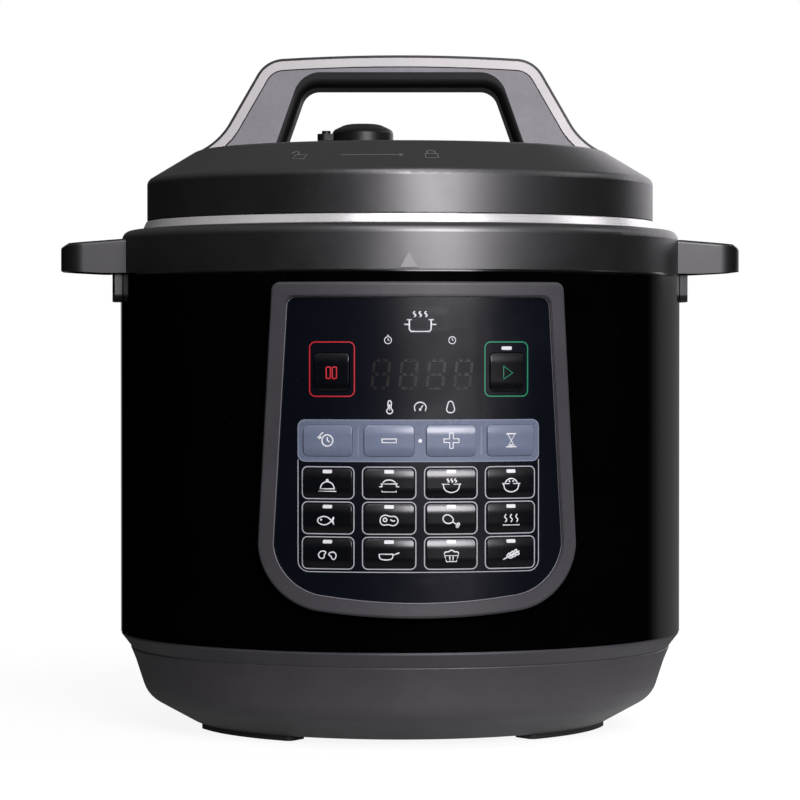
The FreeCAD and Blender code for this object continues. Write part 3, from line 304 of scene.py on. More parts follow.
def galvanised_sheet(name):
    """Zinc spangle: flat crystals of slightly different grey."""
    finish, tree, shader, where = start_finish(name)
    spangle = node(tree, "SeparateColor", {0: cells(tree, where, scale=90.0)["Color"]}).outputs[0]
    handling = use_group(tree, handling_group, {"Vector": where})
    worn = shared(tree, spangle, handling["Smear"], share=0.5)
    zinc = blend_tones(tree, spangle, dark=(0.42, 0.43, 0.44), light=(0.6, 0.61, 0.62))
    feed(tree, shader, {"Base Color": zinc,
                        "Roughness": spread(tree, worn, low=0.28, high=0.5),
                        "Metallic": 1.0,
                        "Normal": relief(tree, spangle, 10.0 * micron)})
    return finish


def circuit_board(name):
    """Green solder resist over copper tracks, with tinned pads."""
    finish, tree, shader, where = start_finish(name)
    tracks = use_group(tree, tracks_group, {"Vector": where})
    handling = use_group(tree, handling_group, {"Vector": where})
    resist = blend_tones(tree, tracks["Tracks"], dark=(0.012, 0.07, 0.028), light=(0.03, 0.13, 0.05))
    tinned = blend_tones(tree, tracks["Pads"], dark=resist, light=(0.5, 0.5, 0.48))
    feed(tree, shader, {"Base Color": tinned,
                        "Roughness": spread(tree, handling["Smear"], low=0.28, high=0.42),
                        "Metallic": tracks["Pads"],
                        "Normal": relief(tree, tracks["Tracks"], 30.0 * micron)})
    return finish


def clear_plastic(name):
    """Clear moulded cup with a faint frost in places."""
    finish, tree, shader, where = start_finish(name)
    smear = use_group(tree, handling_group, {"Vector": where})["Smear"]
    frosted = blend_tones(tree, smear, dark=(0.86, 0.9, 0.92), light=(0.93, 0.95, 0.96))
    feed(tree, shader, {"Base Color": frosted,
                        "Roughness": spread(tree, smear, low=0.04, high=0.16),
                        "Transmission Weight": 1.0, "IOR": 1.49})
    return finish


def printed_ink(name, colour, rough=0.45, rough_play=0.06, tone=0.14):
    """Screen-printed ink: slightly uneven cover over the film."""
    finish, tree, shader, where = start_finish(name)
    grain = use_group(tree, grain_group, {"Vector": where, "Pits": 2600.0})
    feed(tree, shader, {"Base Color": blend_tones(tree, grain["Tone"], shaded(colour, tone), colour),
                        "Roughness": spread(tree, grain["Tone"], rough - rough_play, rough + rough_play),
                        "Normal": relief(tree, grain["Height"], 4.0 * micron)})
    return finish


# Body, lid and handles
satin = (0.0034, 0.0032, 0.0036)
base_charcoal = moulded("base_charcoal", (0.05, 0.0462, 0.0535), rough=0.46, pits=1300.0, depth=20.0 * micron,
                        specular=0.9)
ring_black = moulded("ring_black", satin, rough=0.41, rough_play=0.04, specular=1.0, ior=1.65)
side_black = moulded("side_black", satin, rough=0.41, rough_play=0.04, specular=0.48, ior=1.65)
lid_satin = moulded("lid_satin", satin, rough=0.4, pits=1700.0, depth=8.0 * micron, rough_play=0.04,
                    specular=1.0, ior=1.65)
foot_rubber = moulded("foot_rubber", (0.012, 0.012, 0.012), rough=0.7, pits=900.0, depth=40.0 * micron)
piano_black = moulded("piano_black", (0.0007, 0.0006, 0.0007), rough=0.07, pits=300.0, depth=1.2 * micron,
                      tone=0.1, rough_play=0.025, coat=0.6, coat_rough=0.03, dust=0.04)
lip_gloss = moulded("lip_gloss", (0.0012, 0.001, 0.0011), rough=0.2, pits=300.0, depth=1.2 * micron,
                    tone=0.05, rough_play=0.04)
handle_satin = moulded("handle_satin", (0.165, 0.157, 0.171), rough=0.42, rough_play=0.06)
cap_black = moulded("cap_black", (0.003, 0.003, 0.0031), rough=0.34, depth=8.0 * micron, specular=0.3)
grip_black = moulded("grip_black", (0.0016, 0.0015, 0.0017), rough=0.5, specular=0.2)
knob_black = moulded("knob_black", (0.009, 0.009, 0.0093), rough=0.4, depth=12.0 * micron)
trim_silver = cast_metal("trim_silver", (0.395, 0.384, 0.38), rough=0.4, metallic=0.25, pits=2600.0,
                         depth=4.0 * micron, tone=0.06)
rim_steel = turned_metal("rim_steel", (0.83, 0.82, 0.81), rough=0.29, fineness=1500.0, metallic=0.6)

# Panel and its prints
slate = (0.14, 0.17, 0.238)
frame_charcoal = moulded("frame_charcoal", (0.046, 0.0448, 0.0505), rough=0.52, pits=1800.0,
                         depth=12.0 * micron)
# Pale plastic for the painted highlight along the panel frame's inner lip
lip_painted_highlight = moulded("lip_painted_highlight", (0.16, 0.16, 0.17), rough=0.3, pits=1800.0, depth=4.0 * micron)
overlay_navy = moulded("overlay_navy", (0.0026, 0.0035, 0.0068), rough=0.24, pits=500.0, depth=1.0 * micron,
                       tone=0.12, rough_play=0.04, dust=0.03)
key_film = moulded("key_film", (0.0016, 0.002, 0.0034), rough=0.24, pits=700.0, depth=1.5 * micron,
                   tone=0.12, rough_play=0.04, coat=0.12, coat_rough=0.12, specular=0.6)
strip_film = moulded("strip_film", slate, rough=0.26, pits=900.0, depth=1.5 * micron,
                     tone=0.08, rough_play=0.04, coat=0.12, coat_rough=0.12, specular=0.6)
display_smoke = moulded("display_smoke", (0.004, 0.004, 0.005), rough=0.2, pits=500.0, depth=1.0 * micron)
lamp_window = printed_ink("lamp_window", (0.68, 0.68, 0.69), rough=0.35)
ink_white = printed_ink("ink_white", (0.78, 0.79, 0.81))
ink_grey = printed_ink("ink_grey", (0.4, 0.41, 0.43))
ink_red = printed_ink("ink_red", (0.5, 0.013, 0.024))
ink_green = printed_ink("ink_green", (0.006, 0.22, 0.1))
ink_slate = printed_ink("ink_slate", slate, rough=0.3)
ink_mist = printed_ink("ink_mist", (0.23, 0.26, 0.33), rough=0.3)
ink_ghost = printed_ink("ink_ghost", (0.0075, 0.006, 0.0058), rough=0.3)
mark_pale = printed_ink("mark_pale", (0.27, 0.268, 0.275))
mark_grey = printed_ink("mark_grey", (0.13, 0.128, 0.13), rough=0.5)

# Inside and back
inlet_plastic = moulded("inlet_plastic", (0.014, 0.014, 0.014), rough=0.5, depth=16.0 * micron)
switch_cream = moulded("switch_cream", (0.62, 0.58, 0.48), rough=0.45)
silicone_grey = moulded("silicone_grey", (0.55, 0.55, 0.53), rough=0.55, pits=700.0, tone=0.08)
float_red = moulded("float_red", (0.42, 0.022, 0.018), rough=0.4)
lid_steel = turned_metal("lid_steel", (0.76, 0.75, 0.74), rough=0.38)
pot_steel = turned_metal("pot_steel", (0.78, 0.77, 0.76), rough=0.42, fineness=1900.0)
screw_steel = turned_metal("screw_steel", (0.62, 0.61, 0.6), rough=0.32, fineness=5000.0)
pin_brass = turned_metal("pin_brass", (0.72, 0.52, 0.24), rough=0.28, fineness=5000.0)
cast_aluminium = cast_metal("cast_aluminium", (0.62, 0.62, 0.62), rough=0.45, pits=600.0,
                            depth=60.0 * micron)
heater_sheath = cast_metal("heater_sheath", (0.16, 0.14, 0.12), rough=0.5, metallic=0.8)
galvanised = galvanised_sheet("galvanised")
board_green = circuit_board("board_green")
cup_clear = clear_plastic("cup_clear")

grid_names = [["key_warm", "key_slow", "key_soup", "key_rice"],
              ["key_fish", "key_meat", "key_bird", "key_steam"],
              ["key_beans", "key_fry", "key_cake", "key_grain"]]
strip_names = ["key_delay", "key_minus", "key_plus", "key_time"]
finish_of = {
    base_charcoal: ["base_housing", "bottom_cover"],
    ring_black: ["top_ring"],
    side_black: ["side_handle_right", "side_handle_left", "cup_bracket"],
    foot_rubber: ["foot_front_left", "foot_front_right", "foot_rear_left", "foot_rear_right"],
    piano_black: ["sleeve"],
    lid_satin: ["lid_cover"],
    handle_satin: ["lid_handle"],
    trim_silver: ["handle_trim"],
    cap_black: ["handle_cap"],
    grip_black: ["handle_grip"],
    knob_black: ["steam_valve_knob"],
    frame_charcoal: ["panel_frame"],
    overlay_navy: ["panel_overlay"],
    key_film: ["key_cancel", "key_start"] + sum(grid_names, []),
    strip_film: strip_names,
    display_smoke: ["display_module"],
    inlet_plastic: ["power_inlet"],
    switch_cream: ["pressure_switch"],
    silicone_grey: ["sealing_ring", "float_seal"],
    float_red: ["float_pin"],
    rim_steel: ["rim_band"],
    lid_steel: ["lid_plate", "ring_rack", "steam_pipe", "shield_cap"],
    pot_steel: ["inner_pot"],
    screw_steel: ["housing_screws", "lid_screws", "sensor_spring"],
    pin_brass: ["inlet_pins"],
    cast_aluminium: ["heating_plate", "sensor_cap"],
    heater_sheath: ["heater_tube"],
    galvanised: ["outer_pot"],
    board_green: ["power_board", "control_board"],
    cup_clear: ["condensation_cup"],
}
for finish, names in finish_of.items():
    for name in names:
        for slot in nodes[name].material_slots:
            slot.material = finish


# Faces that marks are laid on

def round_point(angle, reach, z):
    """Point at an angle from the front, a reach from the upright axis and a height."""
    return Vector((reach * math.sin(angle), -reach * math.cos(angle), z))


def overlay_face(turn, z):
    """Place on the overlay: x along the panel, y up, lift out of the film."""
    def place(x, y, lift):
        angle = math.radians(turn) + math.asin(x / overlay_radius)
        return round_point(angle, overlay_radius + lift, z + y)
    return place


def key_face(turn, z, height):
    """Place on a key's crowned face."""
    sweep = (key_bow ** 2 + key_drop ** 2) / (2 * key_drop)

    def place(x, y, lift):
        past = max(abs(y) - (height / 2 - key_bow), 0.0)
        radius = key_radius - sweep + math.sqrt(sweep ** 2 - past ** 2)
        angle = math.radians(turn) + math.asin(x / key_radius)
        return round_point(angle, radius + lift, z + y)
    return place


def ring_face(turn):
    """Place on the ring's raised triangle: x round the ring, y up from its lower edge."""
    def place(x, y, lift):
        return round_point(math.radians(turn) + x / mark_radius, mark_radius + lift, ring_low + y)
    return place


def cone_face(turn):
    """Place on the lid's cone: x round it, y up its slope, from the middle of the slope."""
    middle = (cone_low[0] + cone_top[0]) / 2
    slope = math.atan2(cone_top[1] - cone_low[1], cone_low[0] - cone_top[0])

    def place(x, y, lift):
        radius = middle - y * math.cos(slope) + lift * math.sin(slope)
        z = (cone_low[1] + cone_top[1]) / 2 + y * math.sin(slope) + lift * math.cos(slope)
        return round_point(math.radians(turn + lid_turn) + x / middle, radius, z)
    return place


def handle_face(turn):
    """Place on a face of the lid's handle: x along it, y up from the upper edge of the lid's cone."""
    swing = Matrix.Rotation(math.radians(turn + lid_turn), 3, "Z")

    def place(x, y, lift):
        return swing @ Vector((x, -handle_half_depth - lift, cone_top[1] + y))
    return place


# Sheets of ink, each given as its width, height and corner

ink_coat = 0.05 * mm
ink_sunk = 0.02 * mm
slice_width = 1.5 * mm
along = Vector((1.0, 0.0, 0.0))
upward = Vector((0.0, 1.0, 0.0))


def rounded_sheet(width, height, corner, y=0.0):
    """Flat sheet with rounded corners."""
    bm = bmesh.new()
    bmesh.ops.create_grid(bm, x_segments=1, y_segments=1, size=0.5)
    bmesh.ops.scale(bm, vec=(width, height, 1.0), verts=bm.verts)
    bmesh.ops.bevel(bm, geom=bm.verts[:], offset=corner, offset_type="OFFSET", affect="VERTICES",
                    segments=6, profile=0.5, material=-1, clamp_overlap=True)
    bmesh.ops.translate(bm, vec=(0.0, y, 0.0), verts=bm.verts)
    return bm


def border_of(bm, width):
    """Leaves only a border of the sheet, as wide as given."""
    border = bmesh.ops.inset_region(bm, faces=bm.faces[:], thickness=width, use_boundary=True,
                                    use_even_offset=True)["faces"]
    bmesh.ops.delete(bm, geom=[face for face in bm.faces if face not in border], context="FACES")
    return bm


def cut_at(bm, axis, distance, clear_outer=False):
    """Cuts a sheet square to an axis, and takes away what lies beyond if asked."""
    bmesh.ops.bisect_plane(bm, geom=bm.verts[:] + bm.edges[:] + bm.faces[:], dist=1e-7,
                           plane_co=axis * distance, plane_no=axis, clear_outer=clear_outer)


def sliced(bm):
    """Upright cuts, close enough for a flat sheet to follow the round panel."""
    xs = [vert.co.x for vert in bm.verts]
    cut = math.ceil(min(xs) / slice_width) * slice_width
    while cut < max(xs):
        cut_at(bm, along, cut)
        cut += slice_width
    return bm


def thickened(bm, depth):
    """Gives a flat sheet the depth of a coat of ink, sunk a little into the film."""
    bmesh.ops.recalc_face_normals(bm, faces=bm.faces[:])
    made = bmesh.ops.extrude_face_region(bm, geom=bm.faces[:])
    raised = [part for part in made["geom"] if isinstance(part, bmesh.types.BMVert)]
    bmesh.ops.translate(bm, vec=(0.0, 0.0, depth), verts=raised)
    bmesh.ops.translate(bm, vec=(0.0, 0.0, -ink_sunk), verts=bm.verts)
    return bm


# Strokes of a pen, with points in millimetres

pen_flatness = 0.2
pen_lift = 0.01 * mm


def line(*points):
    """Straight stretches with two ends."""
    return ("VECTOR", False, points)


def shape(*points):
    """Straight stretches, closed."""
    return ("VECTOR", True, points)


def bow(*points):
    """A smooth curve with two ends."""
    return ("AUTO", False, points)


def loop(*points):
    """A smooth curve, closed."""
    return ("AUTO", True, points)


def ring(x, y, radius):
    return loop((x + radius, y), (x, y + radius), (x - radius, y), (x, y - radius))


def wave(x, y, height):
    """A wisp of steam."""
    step = height / 3
    return bow((x, y), (x + 0.7, y + step), (x - 0.3, y + 2 * step), (x + 0.4, y + height))


def arc_through(start, via, end, steps):
    """Points along the arc from start to end that passes through via."""
    a = Vector(start)
    b = Vector(via) - a
    c = Vector(end) - a
    turned = 2 * b.cross(c)
    centre = Vector((b.length_squared * c.y - c.length_squared * b.y,
                     c.length_squared * b.x - b.length_squared * c.x)) / turned
    first = math.atan2(-centre.y, -centre.x)
    last = math.atan2(c.y - centre.y, c.x - centre.x)
    swing = (last - first) % (2 * math.pi)
    if turned < 0:
        swing -= 2 * math.pi
    angles = [first + swing * step / steps for step in range(steps + 1)]
    return [(a.x + centre.x + centre.length * math.cos(angle),
             a.y + centre.y + centre.length * math.sin(angle)) for angle in angles]


def pen(strokes, width, size=1.0, y=0.0):
    """Flattened tubes along strokes, as wide as the pen."""
    path = bpy.data.curves.new("pen", "CURVE")
    path.dimensions = "3D"
    path.bevel_depth = width / 2
    path.bevel_resolution = 1
    path.resolution_u = 5
    path.use_fill_caps = True
    for handle, closed, points in strokes:
        stroke = path.splines.new("BEZIER")
        stroke.bezier_points.add(len(points) - 1)
        stroke.use_cyclic_u = closed
        for knot, (px, py) in zip(stroke.bezier_points, points):
            knot.co = (px * size, py * size, 0.0)
            knot.handle_left_type = handle
            knot.handle_right_type = handle
    holder = bpy.data.objects.new("pen", path)
    mesh = bpy.data.meshes.new_from_object(holder)
    bm = bmesh.new()
    bm.from_mesh(mesh)
    bpy.data.objects.remove(holder)
    bpy.data.meshes.remove(mesh)
    bpy.data.curves.remove(path)
    bmesh.ops.remove_doubles(bm, verts=bm.verts[:], dist=0.001)
    bmesh.ops.scale(bm, vec=(mm, mm, mm * pen_flatness), verts=bm.verts)
    bmesh.ops.translate(bm, vec=(0.0, y * mm, pen_lift), verts=bm.verts)
    return bm


# Laying marks on a face and putting pieces together

def turned_outward(bm):
    """Turns the faces of every closed shell outward, by the sign of its volume."""
    bmesh.ops.recalc_face_normals(bm, faces=bm.faces[:])
    left = set(bm.faces)
    while left:
        shell = [left.pop()]
        for face in shell:
            for edge in face.edges:
                joined = [other for other in edge.link_faces if other in left]
                left.difference_update(joined)
                shell.extend(joined)
        origin = shell[0].verts[0].co
        volume = 0.0
        for face in shell:
            corners = [vert.co - origin for vert in face.verts]
            for b, c in zip(corners[1:], corners[2:]):
                volume += corners[0].dot(b.cross(c))
        if volume < 0.0:
            bmesh.ops.reverse_faces(bm, faces=shell)
    return bm


def laid_on(bm, place):
    for vert in bm.verts:
        vert.co = place(*vert.co)
    return turned_outward(bm)


def inked(sheet, place, ink, depth=ink_coat):
    """A flat sheet as a coat of ink on a face."""
    return laid_on(thickened(sheet, depth), place), ink


def drawn(strokes, place, ink, width, size=1.0, y=0.0):
    """Strokes of a pen on a face."""
    return laid_on(pen(strokes, width, size, y), place), ink


def make_piece(name, parts, body):
    """One piece out of meshes, each with its own finish."""
    whole = bmesh.new()
    finishes = []
    for bm, finish in parts:
        if finish not in finishes:
            finishes.append(finish)
        for face in bm.faces:
            face.material_index = finishes.index(finish)
        part = bpy.data.meshes.new("part")
        bm.to_mesh(part)
        bm.free()
        whole.from_mesh(part)
        bpy.data.meshes.remove(part)
    mesh = bpy.data.meshes.new(name)
    for finish in finishes:
        mesh.materials.append(finish)
    whole.to_mesh(mesh)
    whole.free()
    piece = bpy.data.objects.new(name, mesh)
    scene.collection.objects.link(piece)
    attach(piece, body)
    return piece


# Signs of the keys

bowl = [bow((-4.2, 0.4), (-3.3, -2.4), (-1.2, -3.6), (1.2, -3.6), (3.3, -2.4), (4.2, 0.4)),
        line((-4.9, 0.4), (4.9, 0.4))]
signs = {
    "key_warm": [line((-4.6, -3.2), (4.6, -3.2)),
                 bow((-3.8, -2.0), (-2.4, 0.6), (0.0, 1.5), (2.4, 0.6), (3.8, -2.0)),
                 line((-3.8, -2.0), (3.8, -2.0)), ring(0.0, 2.2, 0.45)],
    "key_slow": [line((-3.6, 0.6), (-3.6, -3.4), (3.6, -3.4), (3.6, 0.6)), line((-4.3, 0.6), (4.3, 0.6)),
                 bow((-3.2, 1.2), (-1.8, 2.2), (0.0, 2.5), (1.8, 2.2), (3.2, 1.2)),
                 line((-5.0, -0.8), (-3.6, -0.8)), line((3.6, -0.8), (5.0, -0.8))],
    "key_soup": bowl + [wave(x, 1.2, 2.0) for x in (-1.9, 0.0, 1.9)],
    "key_rice": bowl + [bow((-3.4, 0.7), (-2.0, 2.3), (0.0, 2.9), (2.0, 2.3), (3.4, 0.7)),
                        ring(-1.0, 1.5, 0.2), ring(1.0, 1.6, 0.2)],
    "key_fish": [bow((3.4, 1.5), (0.6, -1.8), (-2.4, -2.4), (-5.0, -0.4), (-2.4, 1.6), (0.6, 1.0),
                     (3.4, -2.3)),
                 line((3.4, 1.5), (2.8, -0.4), (3.4, -2.3)), ring(-3.2, 0.0, 0.25)],
    "key_meat": [loop((-4.4, 0.6), (-2.6, 2.4), (0.6, 1.9), (3.4, 1.6), (4.4, -0.6), (2.6, -2.6),
                      (-0.4, -2.2), (-3.4, -2.2)),
                 ring(-2.0, 0.2, 0.9), bow((0.6, 0.4), (1.8, -0.4), (3.0, -0.2))],
    "key_bird": [loop((-4.2, 1.2), (-2.6, 2.6), (-0.4, 2.0), (0.9, -0.2), (-0.9, -1.6), (-3.4, -1.0)),
                 line((0.6, -0.9), (2.9, -2.4)), ring(3.5, -2.1, 0.6), ring(3.0, -3.1, 0.6)],
    "key_steam": [wave(x, -1.4, 4.0) for x in (-3.2, -0.2, 2.8)] + [line((-4.6, -2.8), (4.6, -2.8))],
    "key_beans": [loop((-4.2, 0.8), (-2.6, 1.9), (-0.8, 1.2), (-1.6, 0.1), (-1.6, -1.2), (-3.2, -1.7),
                       (-4.4, -0.6)),
                  loop((0.8, 0.2), (2.2, 1.4), (4.0, 0.9), (4.4, -0.8), (3.2, -2.2), (2.3, -1.6),
                       (1.9, -0.6))],
    "key_fry": [bow((-5.0, 0.6), (-4.4, -1.6), (-2.6, -2.2), (-0.4, -2.2), (1.4, -1.6), (2.0, 0.6)),
                line((-5.0, 0.6), (2.0, 0.6)), line((1.9, 0.0), (5.2, 1.4))],
    "key_cake": [shape((-3.4, -0.2), (-2.5, -3.2), (2.5, -3.2), (3.4, -0.2)),
                 bow((-3.6, 0.3), (-3.2, 1.5), (-1.6, 1.7), (0.0, 2.5), (1.6, 1.7), (3.2, 1.5), (3.6, 0.3)),
                 line((-0.9, -0.6), (-0.7, -2.8)), line((0.9, -0.6), (0.7, -2.8))],
    "key_grain": [bow((-4.4, -2.6), (-1.0, -0.9), (2.2, 0.6), (4.4, 1.6))]
                 + [loop((x, y), (x + 0.3, y + 1.1), (x + 1.5, y + 1.7), (x + 1.2, y + 0.6))
                    for x, y in ((-2.2, -1.2), (-0.4, -0.3), (1.4, 0.5))]
                 + [loop((x, y), (x + 1.1, y - 0.5), (x + 2.1, y + 0.1), (x + 1.0, y + 0.5))
                    for x, y in ((-1.4, -1.4), (0.4, -0.6), (2.2, 0.2))],
    "key_delay": [ring(0.0, 0.0, 2.6), line((0.0, 1.5), (0.0, 0.0), (1.2, -0.7)),
                  bow((-3.9, 1.0), (-3.3, 2.6), (-2.0, 3.7)), line((-4.6, 1.9), (-3.9, 0.8), (-2.9, 1.7))],
    "key_minus": [shape((-2.7, -0.7), (2.7, -0.7), (2.7, 0.7), (-2.7, 0.7))],
    "key_plus": [shape((-0.7, -2.9), (0.7, -2.9), (0.7, -0.7), (2.9, -0.7), (2.9, 0.7), (0.7, 0.7),
                       (0.7, 2.9), (-0.7, 2.9), (-0.7, 0.7), (-2.9, 0.7), (-2.9, -0.7), (-0.7, -0.7))],
    "key_time": [shape((-1.8, 3.0), (1.8, 3.0), (-1.8, -3.0), (1.8, -3.0)),
                 line((-2.6, 3.0), (2.6, 3.0)), line((-2.6, -3.0), (2.6, -3.0)),
                 line((-0.9, -2.2), (0.9, -2.2))],
    "key_cancel": [shape((x - 0.8, 1.8), (x - 0.5, 2.1), (x + 0.5, 2.1), (x + 0.8, 1.8),
                         (x + 0.8, -1.8), (x + 0.5, -2.1), (x - 0.5, -2.1), (x - 0.8, -1.8))
                   for x in (-1.15, 1.15)],
    "key_start": [shape((-1.5, -2.4), (2.1, 0.0), (-1.5, 2.4))],
}

# Grid keys, each with a sign, a lamp window and a line round it on the overlay
overlay_print = []
slit_depth = 0.09 * mm
grid_slit = (4.4 * mm, 1.6 * mm, 0.45 * mm)
grid_slit_rise = 5.2 * mm
grid_border = (24.9 * mm, 15.1 * mm, 2.7 * mm)
grid_line = 0.5 * mm
for names, z in zip(grid_names, row_z):
    for name, turn in zip(names, column_turns):
        place = key_face(turn, z, key_height)
        window = sliced(rounded_sheet(*grid_slit, y=grid_slit_rise))
        make_piece("print_" + name, [drawn(signs[name], place, ink_white, width=0.62, size=0.92, y=-0.9),
                                     inked(window, place, lamp_window, slit_depth)], name)
        border = sliced(border_of(rounded_sheet(*grid_border), grid_line))
        overlay_print.append(inked(border, overlay_face(turn, z), ink_grey))

# Strip keys, the two inner signs a little larger
strip_sign_sizes = (1.0, 1.2, 1.2, 1.0)
for name, turn, size in zip(strip_names, column_turns, strip_sign_sizes):
    place = key_face(turn, strip_z, strip_key_height)
    make_piece("print_" + name, [drawn(signs[name], place, ink_white, width=0.75, size=size)],
               name)

# Cancel and start keys, each in a coloured line
main_slit = (5.0 * mm, 1.6 * mm, 0.45 * mm)
main_slit_rise = 11.0 * mm
main_border = (21.6 * mm, 25.4 * mm, 2.9 * mm)
main_line = 0.55 * mm
main_border_z = panel_top - 40.0 * mm
for name, turn, ink in (("key_cancel", -main_turn, ink_red), ("key_start", main_turn, ink_green)):
    place = key_face(turn, main_z, main_key_height)
    make_piece("print_" + name, [drawn(signs[name], place, ink, width=0.75, size=1.25, y=-0.3)],
               name)
    border = sliced(border_of(rounded_sheet(*main_border), main_line))
    overlay_print.append(inked(border, overlay_face(turn, main_border_z), ink))
window = sliced(rounded_sheet(*main_slit, y=main_slit_rise))
overlay_print.append(inked(window, overlay_face(main_turn, main_z), lamp_window, slit_depth))

# Line round the grid, open at the top where the strip closes it
surround_sheet = (111.2 * mm, 62.0 * mm, 5.0 * mm)
surround_line = 0.4 * mm
surround_top = 20.5 * mm
surround_z = panel_top - 102.0 * mm
surround = border_of(rounded_sheet(*surround_sheet), surround_line)
cut_at(surround, upward, surround_top, clear_outer=True)
overlay_print.append(inked(sliced(surround), overlay_face(0.0, surround_z), ink_grey))

# Two clock faces over the display, the left one with a button
clock_turn = 5.9
clock_z = panel_top - 26.8 * mm
clock = [ring(0.0, 0.0, 1.6), line((0.0, 0.9), (0.0, 0.0), (0.7, 0.0))]
stopwatch = clock + [line((-0.4, 2.2), (0.4, 2.2))]
for turn, sign in ((-clock_turn, stopwatch), (clock_turn, clock)):
    overlay_print.append(drawn(sign, overlay_face(turn, clock_z), ink_white, width=0.42))

# Pot with steam at the head of the panel
head_z = panel_top - 18.6 * mm
head = [line((-5.0, 1.2), (-5.0, -3.2), (-4.2, -4.2), (4.2, -4.2), (5.0, -3.2), (5.0, 1.2)),
        line((-6.2, 1.2), (6.2, 1.2)), line((-7.4, -1.0), (-5.0, -1.0)), line((5.0, -1.0), (7.4, -1.0))]
head += [wave(x, 2.4, 2.6) for x in (-2.8, -0.2, 2.4)]
overlay_print.append(drawn(head, overlay_face(0.0, head_z), ink_white, width=0.7))

# Three signs under the display, and a dot in the middle of the strip
state_turn = 5.6
state_z = panel_top - 57.4 * mm
thermometer = [loop((-0.6, 2.0), (0.0, 2.6), (0.6, 2.0), (0.6, -0.5), (1.2, -1.5), (0.0, -2.6), (-1.2, -1.5),
                    (-0.6, -0.5)),
               line((0.0, 1.2), (0.0, -1.4))]
gauge = [bow((-2.0, -1.6), (-2.2, 0.6), (0.0, 2.0), (2.2, 0.6), (2.0, -1.6)),
         line((0.0, -0.8), (1.1, 0.8)), ring(0.0, -0.9, 0.3)]
drop = [loop((0.0, -2.2), (1.5, -1.4), (1.4, 0.1), (0.0, 2.4), (-1.4, 0.1), (-1.5, -1.4))]
for turn, sign in ((-state_turn, thermometer), (0.0, gauge), (state_turn, drop)):
    overlay_print.append(drawn(sign, overlay_face(turn, state_z), ink_white, width=0.6, size=1.15))
dot_sheet = (1.7 * mm, 1.7 * mm, 0.8 * mm)
overlay_print.append(inked(rounded_sheet(*dot_sheet), overlay_face(0.0, strip_z), ink_white))
make_piece("overlay_print", overlay_print, "base")

# Slate band behind the strip keys, open round each of them
strip_sheet = (111.2 * mm, 19.4 * mm, 3.4 * mm)
strip_line = 0.5 * mm
band_coat = 0.04 * mm
strip_line_coat = 0.07 * mm
key_clearance = 0.35 * mm
opening_rise = strip_key_height / 2 + key_clearance
openings = []
for turn in column_turns:
    middle = overlay_radius * math.sin(math.radians(turn))
    openings.append((middle, (key_width / 2 + key_clearance) * math.cos(math.radians(turn))))


def behind_key(spot):
    """Whether a spot on the band lies in the opening of one of the keys."""
    return abs(spot.y) < opening_rise and any(abs(spot.x - middle) < reach for middle, reach in openings)


strip_face = overlay_face(0.0, strip_z)
band = sliced(rounded_sheet(*strip_sheet))
for middle, reach in openings:
    cut_at(band, along, middle - reach)
    cut_at(band, along, middle + reach)
cut_at(band, upward, -opening_rise)
cut_at(band, upward, opening_rise)
behind = [face for face in band.faces if behind_key(face.calc_center_median())]
bmesh.ops.delete(band, geom=behind, context="FACES")
strip_rim = sliced(border_of(rounded_sheet(*strip_sheet), strip_line))
strip_print = [inked(band, strip_face, ink_slate, band_coat),
               inked(strip_rim, strip_face, ink_mist, strip_line_coat)]

# Collar round each strip key, and dividers between the outer keys and the inner ones
collar_width = 1.1 * mm
collar_gap = 0.1 * mm
collar_reach = collar_width + collar_gap
collar_sheet = (key_width + 2 * collar_reach, strip_key_height + 2 * collar_reach, key_corner + collar_reach)
divider_sheet = (0.5 * mm, 13.0 * mm, 0.2 * mm)
for turn in column_turns:
    collar = sliced(border_of(rounded_sheet(*collar_sheet), collar_width))
    strip_print.append(inked(collar, overlay_face(turn, strip_z), ink_slate))
for turn in (-key_pitch, key_pitch):
    divider = rounded_sheet(*divider_sheet)
    strip_print.append(inked(divider, overlay_face(turn, strip_z), ink_mist, strip_line_coat))
make_piece("strip_band", strip_print, "base")

# Four dark figures of the display, seen faintly through the smoked film
figure_pitch = 12.6 * mm
figure_half_width = 3.5 * mm
figure_half_height = 6.3 * mm
figure_lean = 0.1
figure_coat = 0.03 * mm
display_turn = 0.4
display_z = panel_top - 42.2 * mm
bar_size = Matrix.Diagonal((5.4 * mm, 1.3 * mm, 1.0, 1.0))
bar_corner = 0.6 * mm
bars = [(0.0, level * figure_half_height, 0.0) for level in (1, 0, -1)]
bars += [(side * figure_half_width, level * figure_half_height / 2, math.pi / 2)
         for level in (1, -1) for side in (-1, 1)]
figures = bmesh.new()
for step in centred(4):
    for x, y, angle in bars:
        spot = Matrix.Translation((x + step * figure_pitch, y, 0.0))
        bmesh.ops.create_grid(figures, x_segments=1, y_segments=1, size=0.5,
                              matrix=spot @ Matrix.Rotation(angle, 4, "Z") @ bar_size)
bmesh.ops.bevel(figures, geom=figures.verts[:], offset=bar_corner, offset_type="OFFSET", affect="VERTICES",
                segments=1, profile=0.5, material=-1, clamp_overlap=True)
lean = Matrix.Identity(4)
lean[0][1] = figure_lean
bmesh.ops.transform(figures, matrix=lean, verts=figures.verts)
make_piece("display_figures", [inked(figures, overlay_face(display_turn, display_z), ink_ghost, figure_coat)],
           "base")
